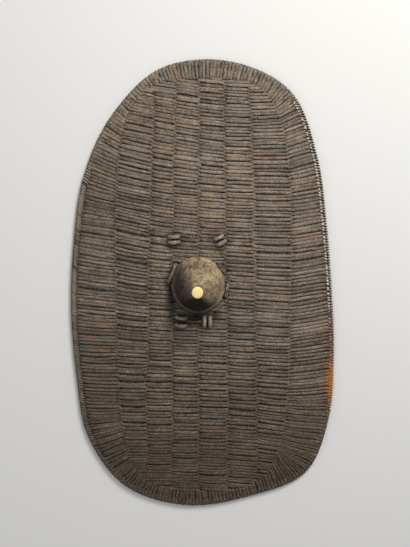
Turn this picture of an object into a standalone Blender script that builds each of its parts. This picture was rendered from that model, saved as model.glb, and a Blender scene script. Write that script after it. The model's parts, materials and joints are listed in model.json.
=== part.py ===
"""An oval wicker shield, lying on its rim with the carved boss up.

Metres, +Z up, +Y towards the shield's upper end. The origin is under the middle of the outline, at the height of the
surface that the rim rests on.
"""

import math

import bpy
import numpy as np
from mathutils import Matrix, Vector
from mathutils.geometry import delaunay_2d_cdt

# Outline of the shield, seen from the front. The left shoulder slopes more than the right one.
LENGTH = 1.0
OUTLINE_POINTS = (
    (-0.295, -0.041), (-0.287, -0.188), (-0.264, -0.333), (-0.181, -0.452), (-0.043, -0.499), (0.102, -0.478),
    (0.235, -0.418), (0.286, -0.282), (0.293, -0.136), (0.284, 0.011), (0.269, 0.157), (0.245, 0.302),
    (0.186, 0.435), (0.054, 0.497), (-0.092, 0.482), (-0.199, 0.382), (-0.262, 0.250), (-0.286, 0.106),
)
OUTLINE_STATIONS = 88
GAP = 0.0003

# Roll of cane wound round the edge
RIM_WIDTH = 0.015
RIM_SIDES = 8

# Domed panel: the height of its middle surface, and how thick the weave is
EDGE_HEIGHT = 0.0085
RISE = 0.0695
DOME_POWER = 2.2
VALLEY_HALF_THICKNESS = 0.0042
FRONT_SWELL = 0.0026
BACK_SWELL = 0.0014

# Field of upright slats. Each edge between two columns leans outwards towards the lower end.
FIELD_HALF_WIDTH = 0.189
FIELD_HALF_LENGTH = 0.458
FIELD_POWER = 4.0
COLUMN_EDGES = (-0.117, -0.065, -0.010, 0.049, 0.111)
COLUMN_SPREAD = 0.25
FIELD_FADE = 0.014
ROW_STEP = 0.033
BORDER_STATIONS = 72
BORDER_RINGS = (0.40, 0.75)
BORDER_FULL_WIDTH = 0.060
CREST_SHARES = (0.18, 0.50, 0.82)

# Carved boss, a little longer than it is wide
BOSS_CENTRE = (-0.011, 0.0255)
BOSS_STRETCH = 1.06
BOSS_STEPS = 32
BOSS_PROFILE = (
    (0.0575, 0.0000), (0.0580, 0.0030), (0.0565, 0.0060), (0.0530, 0.0095),
    (0.0505, 0.0120), (0.0490, 0.0165), (0.0470, 0.0260), (0.0425, 0.0400),
    (0.0350, 0.0560), (0.0265, 0.0700), (0.0190, 0.0810), (0.0150, 0.0880), (0.0138, 0.0900),
)
TIP_RADIUS = 0.0128
TIP_SOCKET_DEPTH = 0.012
TIP_PROUD = 0.0045
TIP_STEPS = 16

# Ties that hold the grip: the middle of each, the turn's direction, its half span and the room between two turns
TIE_RADIUS = 0.0042
TIE_RISE = 0.0040
TIE_SLACK = 0.0012
TIES = (
    ("upper_left_tie", (-0.0610, 0.1225), 2.0, 0.0110, 0.0115),
    ("upper_right_tie", (0.0355, 0.1210), 28.0, 0.0100, 0.0125),
    ("lower_left_tie", (-0.0465, -0.0520), -4.0, 0.0110, 0.0165),
    ("lower_right_tie", (0.0090, -0.0525), 90.0, 0.0115, 0.0120),
)

# Thin cords over the brim of the boss: direction from its middle, and half the angle that each spans
LASHING_RADIUS = 0.0024
LASHING_REACH = 0.0635
LASHINGS = (
    ("left_boss_lashing", 157.0, 20.0),
    ("right_boss_lashing", -9.0, 13.0),
    ("upper_right_boss_lashing", 35.0, 10.0),
    ("lower_right_boss_lashing", -43.0, 11.0),
)

# Carved grip behind the panel: two feet and an arched bar
FOOT_DEPTH = 0.012
FOOT_WIDTH = 0.036
UPPER_FOOT = (-0.0675, 0.0440, 0.1215)
LOWER_FOOT = (-0.0530, 0.0270, -0.0505)
BAR_RADIUS = 0.0125
BAR_LOW = 0.0190
BAR_POINTS = 13
BAR_SIDES_RESOLUTION = 3


def clear_scene():
    """Removes what the scene holds."""
    for obj in list(bpy.data.objects):
        bpy.data.objects.remove(obj, do_unlink=True)


def new_collection(name):
    group = bpy.data.collections.new(name)
    bpy.context.scene.collection.children.link(group)
    return group


def material(name, colour, roughness):
    """A plain surface with the piece's own colour."""
    made = bpy.data.materials.new(name)
    made.use_nodes = True
    shader = made.node_tree.nodes["Principled BSDF"]
    shader.inputs["Base Color"].default_value = (*colour, 1.0)
    shader.inputs["Roughness"].default_value = roughness
    shader.inputs["Metallic"].default_value = 0.0
    return made


def closed_curve(points, per_span):
    """Smooth closed curve through the points, with per_span places on each span."""
    points = np.array(points)
    count = len(points)
    u = (np.arange(per_span) / per_span)[:, None]
    spans = []
    for i in range(count):
        before, start, end, after = (points[(i + k) % count] for k in (-1, 0, 1, 2))
        bend = 2 * before - 5 * start + 4 * end - after
        twist = 3 * start - before - 3 * end + after
        spans.append(start + 0.5 * ((end - before) * u + bend * u**2 + twist * u**3))
    return np.concatenate(spans)


def even_places(curve, count):
    """count places on a closed curve, evenly spaced along it."""
    ring = np.vstack([curve, curve[:1]])
    steps = np.hypot(*np.diff(ring, axis=0).T)
    travelled = np.concatenate([[0.0], np.cumsum(steps)])
    wanted = np.arange(count) / count * travelled[-1]
    return np.stack([np.interp(wanted, travelled, ring[:, k]) for k in range(2)], axis=1)


def inset(ring, distance):
    """The ring moved inwards by distance, each place along its own normal."""
    along = np.roll(ring, -1, axis=0) - np.roll(ring, 1, axis=0)
    along /= np.hypot(*along.T)[:, None]
    return ring + distance * np.stack([-along[:, 1], along[:, 0]], axis=1)


def shield_outline():
    """The outline as evenly spaced places, anticlockwise, with its box centred on the origin."""
    curve = closed_curve(OUTLINE_POINTS, 40)
    curve -= (curve.min(axis=0) + curve.max(axis=0)) / 2
    curve *= LENGTH / np.ptp(curve[:, 1])
    return even_places(curve, OUTLINE_STATIONS)


OUTLINE = shield_outline()
PANEL_EDGE = inset(OUTLINE, RIM_WIDTH + GAP)
EDGE_ANGLES = np.arctan2(PANEL_EDGE[:, 1], PANEL_EDGE[:, 0])
EDGE_ORDER = np.argsort(EDGE_ANGLES)
EDGE_RADII = np.hypot(*PANEL_EDGE.T)[EDGE_ORDER]
EDGE_ANGLES = EDGE_ANGLES[EDGE_ORDER]


def edge_radius(angle):
    """Distance from the middle to the panel's edge."""
    return float(np.interp(angle, EDGE_ANGLES, EDGE_RADII, period=2 * math.pi))


def field_radius(angle):
    """Distance from the middle to the line where the border begins."""
    across = abs(math.cos(angle) / FIELD_HALF_WIDTH) ** FIELD_POWER
    along = abs(math.sin(angle) / FIELD_HALF_LENGTH) ** FIELD_POWER
    return (across + along) ** (-1 / FIELD_POWER)


def column_edge(k, y):
    """Where the valley k between two columns lies at height y up the shield."""
    return COLUMN_EDGES[k] * (1 - COLUMN_SPREAD * y)


def middle_height(x, y):
    """Height of the panel's middle surface."""
    reach = min(math.hypot(x, y) / edge_radius(math.atan2(y, x)), 1.0)
    return EDGE_HEIGHT + RISE * (1 - reach**DOME_POWER)


def swell(x, y):
    """How far the weave stands out over a slat or along the border: 0 in a valley, 1 on a crest."""
    angle = math.atan2(y, x)
    distance, field, edge = math.hypot(x, y), field_radius(angle), edge_radius(angle)
    if distance >= field:
        share = min((distance - field) / (edge - field), 1.0)
        return math.sin(math.pi * share**0.7) * min((edge - field) / BORDER_FULL_WIDTH, 1.0)
    edges = [column_edge(k, y) for k in range(len(COLUMN_EDGES))]
    outer = FIELD_HALF_WIDTH * max(1 - abs(y / FIELD_HALF_LENGTH) ** FIELD_POWER, 0.0) ** (1 / FIELD_POWER)
    walls = [-outer, *edges, outer]
    for low, high in zip(walls, walls[1:]):
        if low <= x <= high:
            across = abs(2 * (x - low) / (high - low) - 1)
            return (1 - across**2.6) * min((field - distance) / FIELD_FADE, 1.0)
    return 0.0


def front_height(x, y):
    """Height of the panel's front."""
    return middle_height(x, y) + VALLEY_HALF_THICKNESS + FRONT_SWELL * swell(x, y)


def back_height(x, y):
    """Height of the panel's back."""
    return middle_height(x, y) - VALLEY_HALF_THICKNESS - BACK_SWELL * swell(x, y)


def panel_places():
    """Places and lines that the panel's facets follow: edge, border line, rings of the border, valleys and columns."""
    angles = np.arange(BORDER_STATIONS) * 2 * math.pi / BORDER_STATIONS
    border = even_places(
        np.array([(field_radius(a) * math.cos(a), field_radius(a) * math.sin(a)) for a in angles]), BORDER_STATIONS
    )
    places, lines = [], []

    def add(points, closed):
        first = len(places)
        places.extend(points)
        last = len(places) - 1
        lines.extend((i, i + 1) for i in range(first, last))
        if closed:
            lines.append((last, first))

    add(PANEL_EDGE, True)
    add(border, True)
    for share in BORDER_RINGS:
        for place in PANEL_EDGE:
            angle = math.atan2(place[1], place[0])
            radius = (1 - share) * field_radius(angle) + share * edge_radius(angle)
            places.append(np.array([radius * math.cos(angle), radius * math.sin(angle)]))
    rows = int(2 * FIELD_HALF_LENGTH / ROW_STEP)
    heights = [(row - rows / 2) * ROW_STEP for row in range(rows + 1)]
    for k in range(len(COLUMN_EDGES)):
        valley = [(column_edge(k, y), y) for y in heights]
        add([np.array(p) for p in valley if inside_field(p, 0.010)], False)
    for y in heights:
        outer = FIELD_HALF_WIDTH
        walls = [-outer, *(column_edge(k, y) for k in range(len(COLUMN_EDGES))), outer]
        for low, high in zip(walls, walls[1:]):
            for share in CREST_SHARES:
                place = (low + share * (high - low), y)
                if inside_field(place, 0.010):
                    places.append(np.array(place))
    return places, lines


def inside_field(place, margin):
    """Whether a place lies in the field and at least margin from the border line."""
    return math.hypot(*place) < field_radius(math.atan2(place[1], place[0])) - margin


def panel_mesh(name, extra=0.0):
    """The domed panel as a closed mesh, with both faces moved out by extra."""
    places, lines = panel_places()
    ring = list(range(OUTLINE_STATIONS))
    flat = [Vector((p[0], p[1])) for p in places]
    points, _, faces, _, _, _ = delaunay_2d_cdt(flat, lines, [ring], 1, 1e-6)
    count = len(points)
    front = [(p.x, p.y, front_height(p.x, p.y) + extra) for p in points]
    back = [(p.x, p.y, back_height(p.x, p.y) - extra) for p in points]
    upper = [face if area(points, face) > 0 else face[::-1] for face in faces]
    lower = [[count + i for i in reversed(face)] for face in upper]
    used = {(a, b) for face in upper for a, b in zip(face, face[1:] + face[:1])}
    walls = [(b, a, count + a, count + b) for a, b in used if (b, a) not in used]
    mesh = bpy.data.meshes.new(name)
    mesh.from_pydata(front + back, [], upper + lower + sorted(walls))
    mesh.validate()
    return mesh


def area(points, face):
    """Signed area of a face of the flat plan, twice over."""
    a, b, c = (points[i] for i in face[:3])
    return (b.x - a.x) * (c.y - a.y) - (b.y - a.y) * (c.x - a.x)


def add_object(name, mesh, group, finish=None):
    obj = bpy.data.objects.new(name, mesh)
    if finish is not None:
        mesh.materials.append(finish)
    group.objects.link(obj)
    return obj


def as_helper(obj):
    """Keeps a cutter or a guide out of the finished shield."""
    obj.hide_render = True
    obj.display_type = "WIRE"
    return obj


def boolean(obj, operation, other):
    cut = obj.modifiers.new(f"{operation.lower()} {other.name}", "BOOLEAN")
    cut.operation = operation
    cut.solver = "EXACT"
    cut.object = other
    return cut


def smooth(mesh, angle=35.0):
    mesh.shade_smooth()
    mesh.set_sharp_from_angle(angle=math.radians(angle))


def poly_curve(name, points, radius, group, resolution=2, cyclic=False, profile=None):
    """A tube along the points, or the profile swept along them."""
    data = bpy.data.curves.new(name, "CURVE")
    data.dimensions = "3D"
    data.twist_mode = "Z_UP" if profile else "MINIMUM"
    spline = data.splines.new("POLY")
    spline.points.add(len(points) - 1)
    for point, place in zip(spline.points, points):
        point.co = (*place, 1.0)
    spline.use_cyclic_u = cyclic
    if profile is None:
        data.bevel_depth = radius
        data.bevel_resolution = resolution
    else:
        data.bevel_mode = "OBJECT"
        data.bevel_object = profile
    data.use_fill_caps = not cyclic
    obj = bpy.data.objects.new(name, data)
    group.objects.link(obj)
    return obj


def curve_as_mesh(obj, group, finish=None):
    """Turns a curve object into a mesh object of the same name, with its caps welded."""
    bpy.context.view_layer.update()
    graph = bpy.context.evaluated_depsgraph_get()
    mesh = bpy.data.meshes.new_from_object(obj.evaluated_get(graph))
    name, place = obj.name, obj.matrix_world.copy()
    data = obj.data
    bpy.data.objects.remove(obj, do_unlink=True)
    bpy.data.curves.remove(data)
    weld(mesh)
    mesh.name = name
    mesh.materials.clear()
    made = add_object(name, mesh, group, finish)
    made.matrix_world = place
    return made


def weld(mesh):
    import bmesh

    work = bmesh.new()
    work.from_mesh(mesh)
    bmesh.ops.remove_doubles(work, verts=work.verts, dist=1e-6)
    bmesh.ops.recalc_face_normals(work, faces=work.faces)
    work.to_mesh(mesh)
    work.free()


def rounded_path(corners, bend, steps):
    """The corners' path with each inner corner rounded off by an arc-like bend."""
    points = [Vector(corners[0])]
    for before, corner, after in zip(corners, corners[1:], corners[2:]):
        before, corner, after = Vector(before), Vector(corner), Vector(after)
        reach_in = min(bend, (before - corner).length * 0.49)
        reach_out = min(bend, (after - corner).length * 0.49)
        start = corner + (before - corner).normalized() * reach_in
        end = corner + (after - corner).normalized() * reach_out
        for step in range(steps + 1):
            u = step / steps
            points.append((1 - u) ** 2 * start + 2 * u * (1 - u) * corner + u * u * end)
    points.append(Vector(corners[-1]))
    return points


def highest_front(x, y, reach):
    """The highest place of the front within reach."""
    around = [(x + reach * math.cos(a), y + reach * math.sin(a)) for a in np.linspace(0, 2 * math.pi, 9)[:-1]]
    return max(front_height(*p) for p in [(x, y), *around])


def foot_low(spec):
    """Height of a grip foot's underside."""
    left, right, y = spec
    corners = [(x, y + dy) for x in (left, right) for dy in (-FOOT_WIDTH / 2, FOOT_WIDTH / 2)]
    return min(back_height(*c) for c in corners) - FOOT_DEPTH


def tie_legs(tie):
    """For each turn of a tie, the places where it goes through the panel."""
    _, (x, y), degrees, half_span, room = tie
    across = Vector((math.cos(math.radians(degrees)), math.sin(math.radians(degrees))))
    stack = Vector((-across.y, across.x))
    middle = Vector((x, y))
    turns = [middle + stack * room * side for side in (0.5, -0.5)]
    return [(turn - across * half_span, turn + across * half_span) for turn in turns]


def tie_path(tie):
    """One cord: up through the panel, over its front and down again, twice, with both ends behind the grip's foot."""
    legs = tie_legs(tie)
    behind = foot_low(UPPER_FOOT if tie[1][1] > 0 else LOWER_FOOT) - TIE_RADIUS - TIE_SLACK
    inwards = (legs[0][1] - legs[0][0]) * 0.36
    corners = [(*(legs[0][0] + inwards), behind)]
    for start, end in legs:
        middle = (start + end) / 2
        top = max(highest_front(*start, 0.004), highest_front(*end, 0.004)) + TIE_RADIUS
        crown = highest_front(*middle, 0.006) + TIE_RADIUS + TIE_RISE
        corners.append((*start, behind))
        corners.append((*start, top))
        corners.append((*middle, crown))
        corners.append((*end, top))
        corners.append((*end, behind))
    corners.append((*(legs[1][1] - inwards), behind))
    return rounded_path(corners, 0.0038, 1)


def lashing_path(degrees, half_angle):
    """One thin cord over the brim's edge, with both ends turned under the panel."""
    middle = Vector(BOSS_CENTRE)
    legs = []
    for side in (-1, 1):
        angle = math.radians(degrees + side * half_angle)
        legs.append(middle + LASHING_REACH * Vector((math.cos(angle), BOSS_STRETCH * math.sin(angle))))
    start, end = legs
    between = (start + end) / 2
    behind = min(back_height(*p) for p in legs) - LASHING_RADIUS - 0.0016
    low = max(highest_front(*p, 0.003) for p in legs) + LASHING_RADIUS + 0.0012
    crown = front_height(*BOSS_CENTRE) + 0.0062 + LASHING_RADIUS + 0.0016
    crown = max(crown, low)
    inwards = (end - start) * 0.3
    corners = [(*(start + inwards), behind), (*start, behind), (*start, low)]
    corners += [(*(start * 0.7 + between * 0.3), crown), (*(end * 0.7 + between * 0.3), crown)]
    corners += [(*end, low), (*end, behind), (*(end - inwards), behind)]
    return rounded_path(corners, 0.0025, 1), legs


def slot_cutter(name, start, end, radius, group, low, high, sides=10):
    """An upright cutter with round ends, from start to end in plan."""
    half = sides // 2
    radius = radius / math.cos(math.pi / (2 * half - 2))
    along = Vector(end) - Vector(start)
    heading = math.atan2(along.y, along.x) if along.length > 1e-6 else 0.0
    ring = []
    for centre, turn in ((end, -math.pi / 2), (start, math.pi / 2)):
        for k in range(half):
            angle = heading + turn + math.pi * k / (half - 1)
            ring.append((centre[0] + radius * math.cos(angle), centre[1] + radius * math.sin(angle)))
    count = len(ring)
    points = [(x, y, low) for x, y in ring] + [(x, y, high) for x, y in ring]
    faces = [tuple(reversed(range(count))), tuple(range(count, 2 * count))]
    faces += [(k, (k + 1) % count, count + (k + 1) % count, count + k) for k in range(count)]
    mesh = bpy.data.meshes.new(name)
    mesh.from_pydata(points, [], faces)
    weld(mesh)
    return as_helper(add_object(name, mesh, group))


def joined(objects, name, group):
    """One helper that holds the meshes of several, which lie apart."""
    import bmesh

    work = bmesh.new()
    for obj in objects:
        work.from_mesh(obj.data)
        bpy.data.objects.remove(obj, do_unlink=True)
    mesh = bpy.data.meshes.new(name)
    work.to_mesh(mesh)
    work.free()
    return as_helper(add_object(name, mesh, group))


def make_tie_cutters(group):
    """Slots for the ties' legs, and round holes for the lashings, through panel and grip."""
    slots = []
    for tie in TIES:
        first, second = tie_legs(tie)
        for side in (0, 1):
            name = f"slot {tie[0]} {side}"
            slots.append(slot_cutter(name, first[side], second[side], TIE_RADIUS + GAP, group, -0.05, 0.15))
    return joined(slots, "tie slots", group)


def make_lashing_cutters(group):
    holes = []
    for name, degrees, half_angle in LASHINGS:
        _, legs = lashing_path(degrees, half_angle)
        for k, leg in enumerate(legs):
            holes.append(slot_cutter(f"hole {name} {k}", leg, leg, LASHING_RADIUS + GAP, group, -0.05, 0.15, 8))
    return joined(holes, "lashing holes", group)


def make_panel(group, finish, cutters):
    obj = add_object("woven_body", panel_mesh("woven_body"), group, finish)
    smooth(obj.data, 40.0)
    for cutter in cutters:
        boolean(obj, "DIFFERENCE", cutter)
    return obj


def make_rim(group, helpers, finish):
    """The wound roll, an eight-sided bar with its flat side down, swept round the outline."""
    half = RIM_WIDTH / 2
    radius = half / math.cos(math.pi / RIM_SIDES)
    angles = [-(k + 0.5) * 2 * math.pi / RIM_SIDES for k in range(RIM_SIDES)]
    section = [(radius * math.cos(a), radius * math.sin(a), 0.0) for a in angles]
    profile = as_helper(poly_curve("rim section", section, 0.0, helpers, cyclic=True))
    path = [(x, y, half) for x, y in inset(OUTLINE, half)]
    rim = poly_curve("rim_binding", path, 0.0, group, cyclic=True, profile=profile)
    rim.data.materials.append(finish)
    return rim


def make_boss(group, finish, panel_clearance):
    """Turned and stretched cone with a brim, whose underside follows the panel, and a socket for the tip."""
    base = middle_height(*BOSS_CENTRE)
    seat = front_height(*BOSS_CENTRE)
    outer = [(r, seat + h) for r, h in reversed(BOSS_PROFILE)]
    socket = [
        (0.0, seat + BOSS_PROFILE[-1][1] - TIP_SOCKET_DEPTH),
        (TIP_RADIUS, seat + BOSS_PROFILE[-1][1] - TIP_SOCKET_DEPTH),
        (TIP_RADIUS, seat + BOSS_PROFILE[-1][1]),
    ]
    profile = [*socket, *outer, (BOSS_PROFILE[0][0], base), (0.0, base)]
    obj = turned("boss", profile, BOSS_STEPS, group, finish)
    boolean(obj, "DIFFERENCE", panel_clearance)
    return obj


def turned(name, profile, steps, group, finish):
    """A profile turned round the boss's axis and stretched along the shield."""
    mesh = bpy.data.meshes.new(name)
    mesh.from_pydata([(r, 0.0, z) for r, z in profile], [(k, k + 1) for k in range(len(profile) - 1)], [])
    obj = add_object(name, mesh, group, finish)
    obj.location = (*BOSS_CENTRE, 0.0)
    obj.scale = (1.0, BOSS_STRETCH, 1.0)
    screw = obj.modifiers.new("turn", "SCREW")
    screw.steps = screw.render_steps = steps
    screw.use_merge_vertices = True
    screw.merge_threshold = 0.00001
    screw.use_smooth_shade = True
    return obj


def make_tip(group, finish):
    """The pale plug: a short peg with a low rounded end."""
    top = front_height(*BOSS_CENTRE) + BOSS_PROFILE[-1][1]
    low = top - TIP_SOCKET_DEPTH + GAP
    radius = TIP_RADIUS - GAP
    crown = [
        (radius * math.cos(a), top + TIP_PROUD * (0.35 + 0.65 * math.sin(a)))
        for a in np.linspace(math.pi / 2, 0.0, 5)
    ]
    crown[0] = (0.0, crown[0][1])
    return turned("boss_tip", [*crown, (radius, low), (0.0, low)], TIP_STEPS, group, finish)


def make_ties(group, finish):
    for tie in TIES:
        curve = poly_curve(tie[0], tie_path(tie), TIE_RADIUS, group)
        obj = curve_as_mesh(curve, group, finish)
        smooth(obj.data, 60.0)


def make_lashings(group, finish):
    for name, degrees, half_angle in LASHINGS:
        path, _ = lashing_path(degrees, half_angle)
        curve = poly_curve(name, path, LASHING_RADIUS, group)
        obj = curve_as_mesh(curve, group, finish)
        smooth(obj.data, 60.0)


def foot(name, spec, low, high, group):
    """One foot of the grip, a bar across the shield with rounded edges, from height low to high."""
    import bmesh

    left, right, y = spec
    work = bmesh.new()
    size = (right - left, FOOT_WIDTH, high - low)
    place = Matrix.Translation(((left + right) / 2, y, (low + high) / 2)) @ Matrix.Diagonal((*size, 1.0))
    bmesh.ops.create_cube(work, size=1.0, matrix=place)
    lower_edges = [e for e in work.edges if all(v.co.z < (low + high) / 2 for v in e.verts)]
    upright = [e for e in work.edges if abs(e.verts[0].co.z - e.verts[1].co.z) > 0.5 * size[2]]
    bmesh.ops.bevel(work, geom=lower_edges + upright, offset=0.004, segments=2, profile=0.6, affect="EDGES")
    mesh = bpy.data.meshes.new(name)
    work.to_mesh(mesh)
    work.free()
    return as_helper(add_object(name, mesh, group))


def make_grip(group, helpers, finish, panel_clearance, tie_slots):
    """Two feet against the panel, with an arched bar between them and drilled for the ties."""
    feet = []
    for name, spec in (("upper foot", UPPER_FOOT), ("lower foot", LOWER_FOOT)):
        low = foot_low(spec)
        high = middle_height(spec[0], spec[2])
        feet.append((foot(name, spec, low, high, helpers), low))
    upper_x = (UPPER_FOOT[0] + UPPER_FOOT[1]) / 2
    lower_x = (LOWER_FOOT[0] + LOWER_FOOT[1]) / 2
    path = []
    for k in range(BAR_POINTS):
        u = k / (BAR_POINTS - 1)
        arch = (1 - abs(2 * u - 1) ** 3.2) ** (1 / 2.2)
        foot_level = (1 - u) * feet[0][1] + u * feet[1][1] + 0.010
        x = (1 - u) * upper_x + u * lower_x
        y = (1 - u) * UPPER_FOOT[2] + u * LOWER_FOOT[2]
        path.append((x, y, foot_level + (BAR_LOW - foot_level) * arch))
    bar = poly_curve("hand_grip", path, BAR_RADIUS, group, resolution=BAR_SIDES_RESOLUTION)
    grip = curve_as_mesh(bar, group, finish)
    for part, _ in feet:
        boolean(grip, "UNION", part)
    boolean(grip, "DIFFERENCE", panel_clearance)
    boolean(grip, "DIFFERENCE", tie_slots)
    smooth(grip.data)
    return grip


def build():
    clear_scene()
    shield = new_collection("wicker_shield")
    helpers = new_collection("helpers")
    helpers.hide_render = True
    weave = material("dark_cane", (0.075, 0.055, 0.040), 0.70)
    binding = material("rim_cane", (0.090, 0.055, 0.035), 0.60)
    carved = material("carved_wood", (0.110, 0.080, 0.055), 0.60)
    pale = material("pale_tip", (0.780, 0.640, 0.420), 0.45)
    cord = material("tie_cane", (0.105, 0.080, 0.060), 0.70)
    back_wood = material("grip_wood", (0.100, 0.062, 0.038), 0.50)

    tie_slots = make_tie_cutters(helpers)
    lashing_holes = make_lashing_cutters(helpers)
    clearance = as_helper(add_object("panel clearance", panel_mesh("panel clearance", GAP), helpers))

    make_panel(shield, weave, (tie_slots, lashing_holes))
    make_rim(shield, helpers, binding)
    make_boss(shield, carved, clearance)
    make_tip(shield, pale)
    make_ties(shield, cord)
    make_lashings(shield, cord)
    make_grip(shield, helpers, back_wood, clearance, tie_slots)


build()
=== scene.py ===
"""An oval wicker shield, lying on its rim with the carved boss up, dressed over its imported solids."""

import json
import logging
import math
from dataclasses import dataclass, field
from enum import Enum

import bpy
import numpy as np
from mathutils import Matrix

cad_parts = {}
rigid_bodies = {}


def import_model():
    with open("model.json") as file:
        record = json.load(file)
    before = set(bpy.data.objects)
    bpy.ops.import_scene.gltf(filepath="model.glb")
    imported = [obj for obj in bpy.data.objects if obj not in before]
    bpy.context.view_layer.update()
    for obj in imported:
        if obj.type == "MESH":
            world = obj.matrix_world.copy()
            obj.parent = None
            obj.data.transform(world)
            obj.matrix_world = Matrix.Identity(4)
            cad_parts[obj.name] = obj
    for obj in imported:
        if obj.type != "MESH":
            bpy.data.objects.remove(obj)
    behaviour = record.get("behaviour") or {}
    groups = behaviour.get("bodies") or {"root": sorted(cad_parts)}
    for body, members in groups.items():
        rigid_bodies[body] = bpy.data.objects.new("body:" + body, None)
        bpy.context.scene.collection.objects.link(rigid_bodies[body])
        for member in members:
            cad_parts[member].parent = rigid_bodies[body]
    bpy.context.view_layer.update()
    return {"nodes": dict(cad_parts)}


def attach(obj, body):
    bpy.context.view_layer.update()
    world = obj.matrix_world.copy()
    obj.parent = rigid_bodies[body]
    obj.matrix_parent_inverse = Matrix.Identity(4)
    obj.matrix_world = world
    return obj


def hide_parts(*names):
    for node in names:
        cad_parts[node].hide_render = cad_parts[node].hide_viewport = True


LOG = logging.getLogger("wicker_shield")
Array = np.ndarray
BODY = "root"
MM = 0.001


class Slot(Enum):
    """Finishes that the record names."""

    DARK_CANE = "dark_cane"
    RIM_CANE = "rim_cane"
    CARVED_WOOD = "carved_wood"
    PALE_TIP = "pale_tip"
    TIE_CANE = "tie_cane"
    GRIP_WOOD = "grip_wood"


class Face(Enum):
    """Side of the panel that a strand lies on."""

    FRONT = 1
    BACK = -1


@dataclass(frozen=True)
class SmoothNoise:
    """Repeatable smooth random values over a plane.

    Attributes:
        seed: Number that picks one field of values.
    """

    seed: int

    def _corner(self, ix: Array, iy: Array) -> Array:
        """Returns a fixed random value for each lattice corner."""
        mixed = (ix * 374761393 + iy * 668265263 + self.seed * 69069) & 0xFFFFFFFF
        mixed = ((mixed ^ (mixed >> 13)) * 1274126177) & 0xFFFFFFFF
        return ((mixed ^ (mixed >> 16)) & 0xFFFF) / 32767.5 - 1.0

    def at(self, x: Array, y: Array) -> Array:
        """Reads the field.

        Args:
            x: First coordinate, in cells.
            y: Second coordinate, in cells.

        Returns:
            Values from -1 to 1.
        """
        x, y = np.broadcast_arrays(np.asarray(x, float), np.asarray(y, float))
        ix, iy = np.floor(x).astype(np.int64), np.floor(y).astype(np.int64)
        u, v = x - ix, y - iy
        u, v = u * u * (3 - 2 * u), v * v * (3 - 2 * v)
        low = self._corner(ix, iy) * (1 - u) + self._corner(ix + 1, iy) * u
        high = self._corner(ix, iy + 1) * (1 - u) + self._corner(ix + 1, iy + 1) * u
        return low * (1 - v) + high * v

    def layered(self, x: Array, y: Array, layers: int = 3) -> Array:
        """Adds finer and weaker layers of the field.

        Args:
            x: First coordinate, in cells of the coarsest layer.
            y: Second coordinate, in cells of the coarsest layer.
            layers: How many layers are added.

        Returns:
            Values of about -1 to 1.
        """
        total, weight, share = 0.0, 1.0, 0.0
        for k in range(layers):
            total = total + weight * self.at(x * 2**k + 17.3 * k, y * 2**k - 9.1 * k)
            share += weight
            weight *= 0.5
        return total / share


@dataclass(frozen=True)
class Outline:
    """The shield's edge seen from the front, anticlockwise from the left flank.

    Attributes:
        length: Length of the shield.
        marks: Places that the edge goes through.
        per_span: Steps between two marks.
        stations: Even places that the solids have along the edge.
    """

    length: float = 1.0
    marks: tuple[tuple[float, float], ...] = (
        (-0.295, -0.041), (-0.287, -0.188), (-0.264, -0.333), (-0.181, -0.452), (-0.043, -0.499), (0.102, -0.478),
        (0.235, -0.418), (0.286, -0.282), (0.293, -0.136), (0.284, 0.011), (0.269, 0.157), (0.245, 0.302),
        (0.186, 0.435), (0.054, 0.497), (-0.092, 0.482), (-0.199, 0.382), (-0.262, 0.250), (-0.286, 0.106),
    )
    per_span: int = 40
    stations: int = 88

    def curve(self) -> Array:
        """Returns the smooth closed curve through the marks, centred and scaled to the length."""
        marks = np.array(self.marks)
        u = (np.arange(self.per_span) / self.per_span)[:, None]
        spans = []
        for i in range(len(marks)):
            before, start, end, after = (marks[(i + k) % len(marks)] for k in (-1, 0, 1, 2))
            bend = 2 * before - 5 * start + 4 * end - after
            twist = 3 * start - before - 3 * end + after
            spans.append(start + 0.5 * ((end - before) * u + bend * u**2 + twist * u**3))
        curve = np.concatenate(spans)
        curve -= (curve.min(axis=0) + curve.max(axis=0)) / 2
        return curve * self.length / np.ptp(curve[:, 1])

    @staticmethod
    def even(curve: Array, count: int) -> Array:
        """Spaces places evenly along a closed curve.

        Args:
            curve: Places on the closed curve.
            count: Number of places wanted.

        Returns:
            The evenly spaced places.
        """
        ring = np.vstack([curve, curve[:1]])
        travelled = np.concatenate([[0.0], np.cumsum(np.hypot(*np.diff(ring, axis=0).T))])
        wanted = np.arange(count) / count * travelled[-1]
        return np.stack([np.interp(wanted, travelled, ring[:, k]) for k in range(2)], axis=1)

    @staticmethod
    def inward(ring: Array) -> Array:
        """Returns the unit normals of a closed ring, pointing inwards."""
        along = np.roll(ring, -1, axis=0) - np.roll(ring, 1, axis=0)
        along /= np.hypot(*along.T)[:, None]
        return np.stack([-along[:, 1], along[:, 0]], axis=1)

    def solid_ring(self, inset: float) -> Array:
        """Returns the solids' own ring at a distance inside the edge."""
        ring = self.even(self.curve(), self.stations)
        return ring + inset * self.inward(ring)


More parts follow.
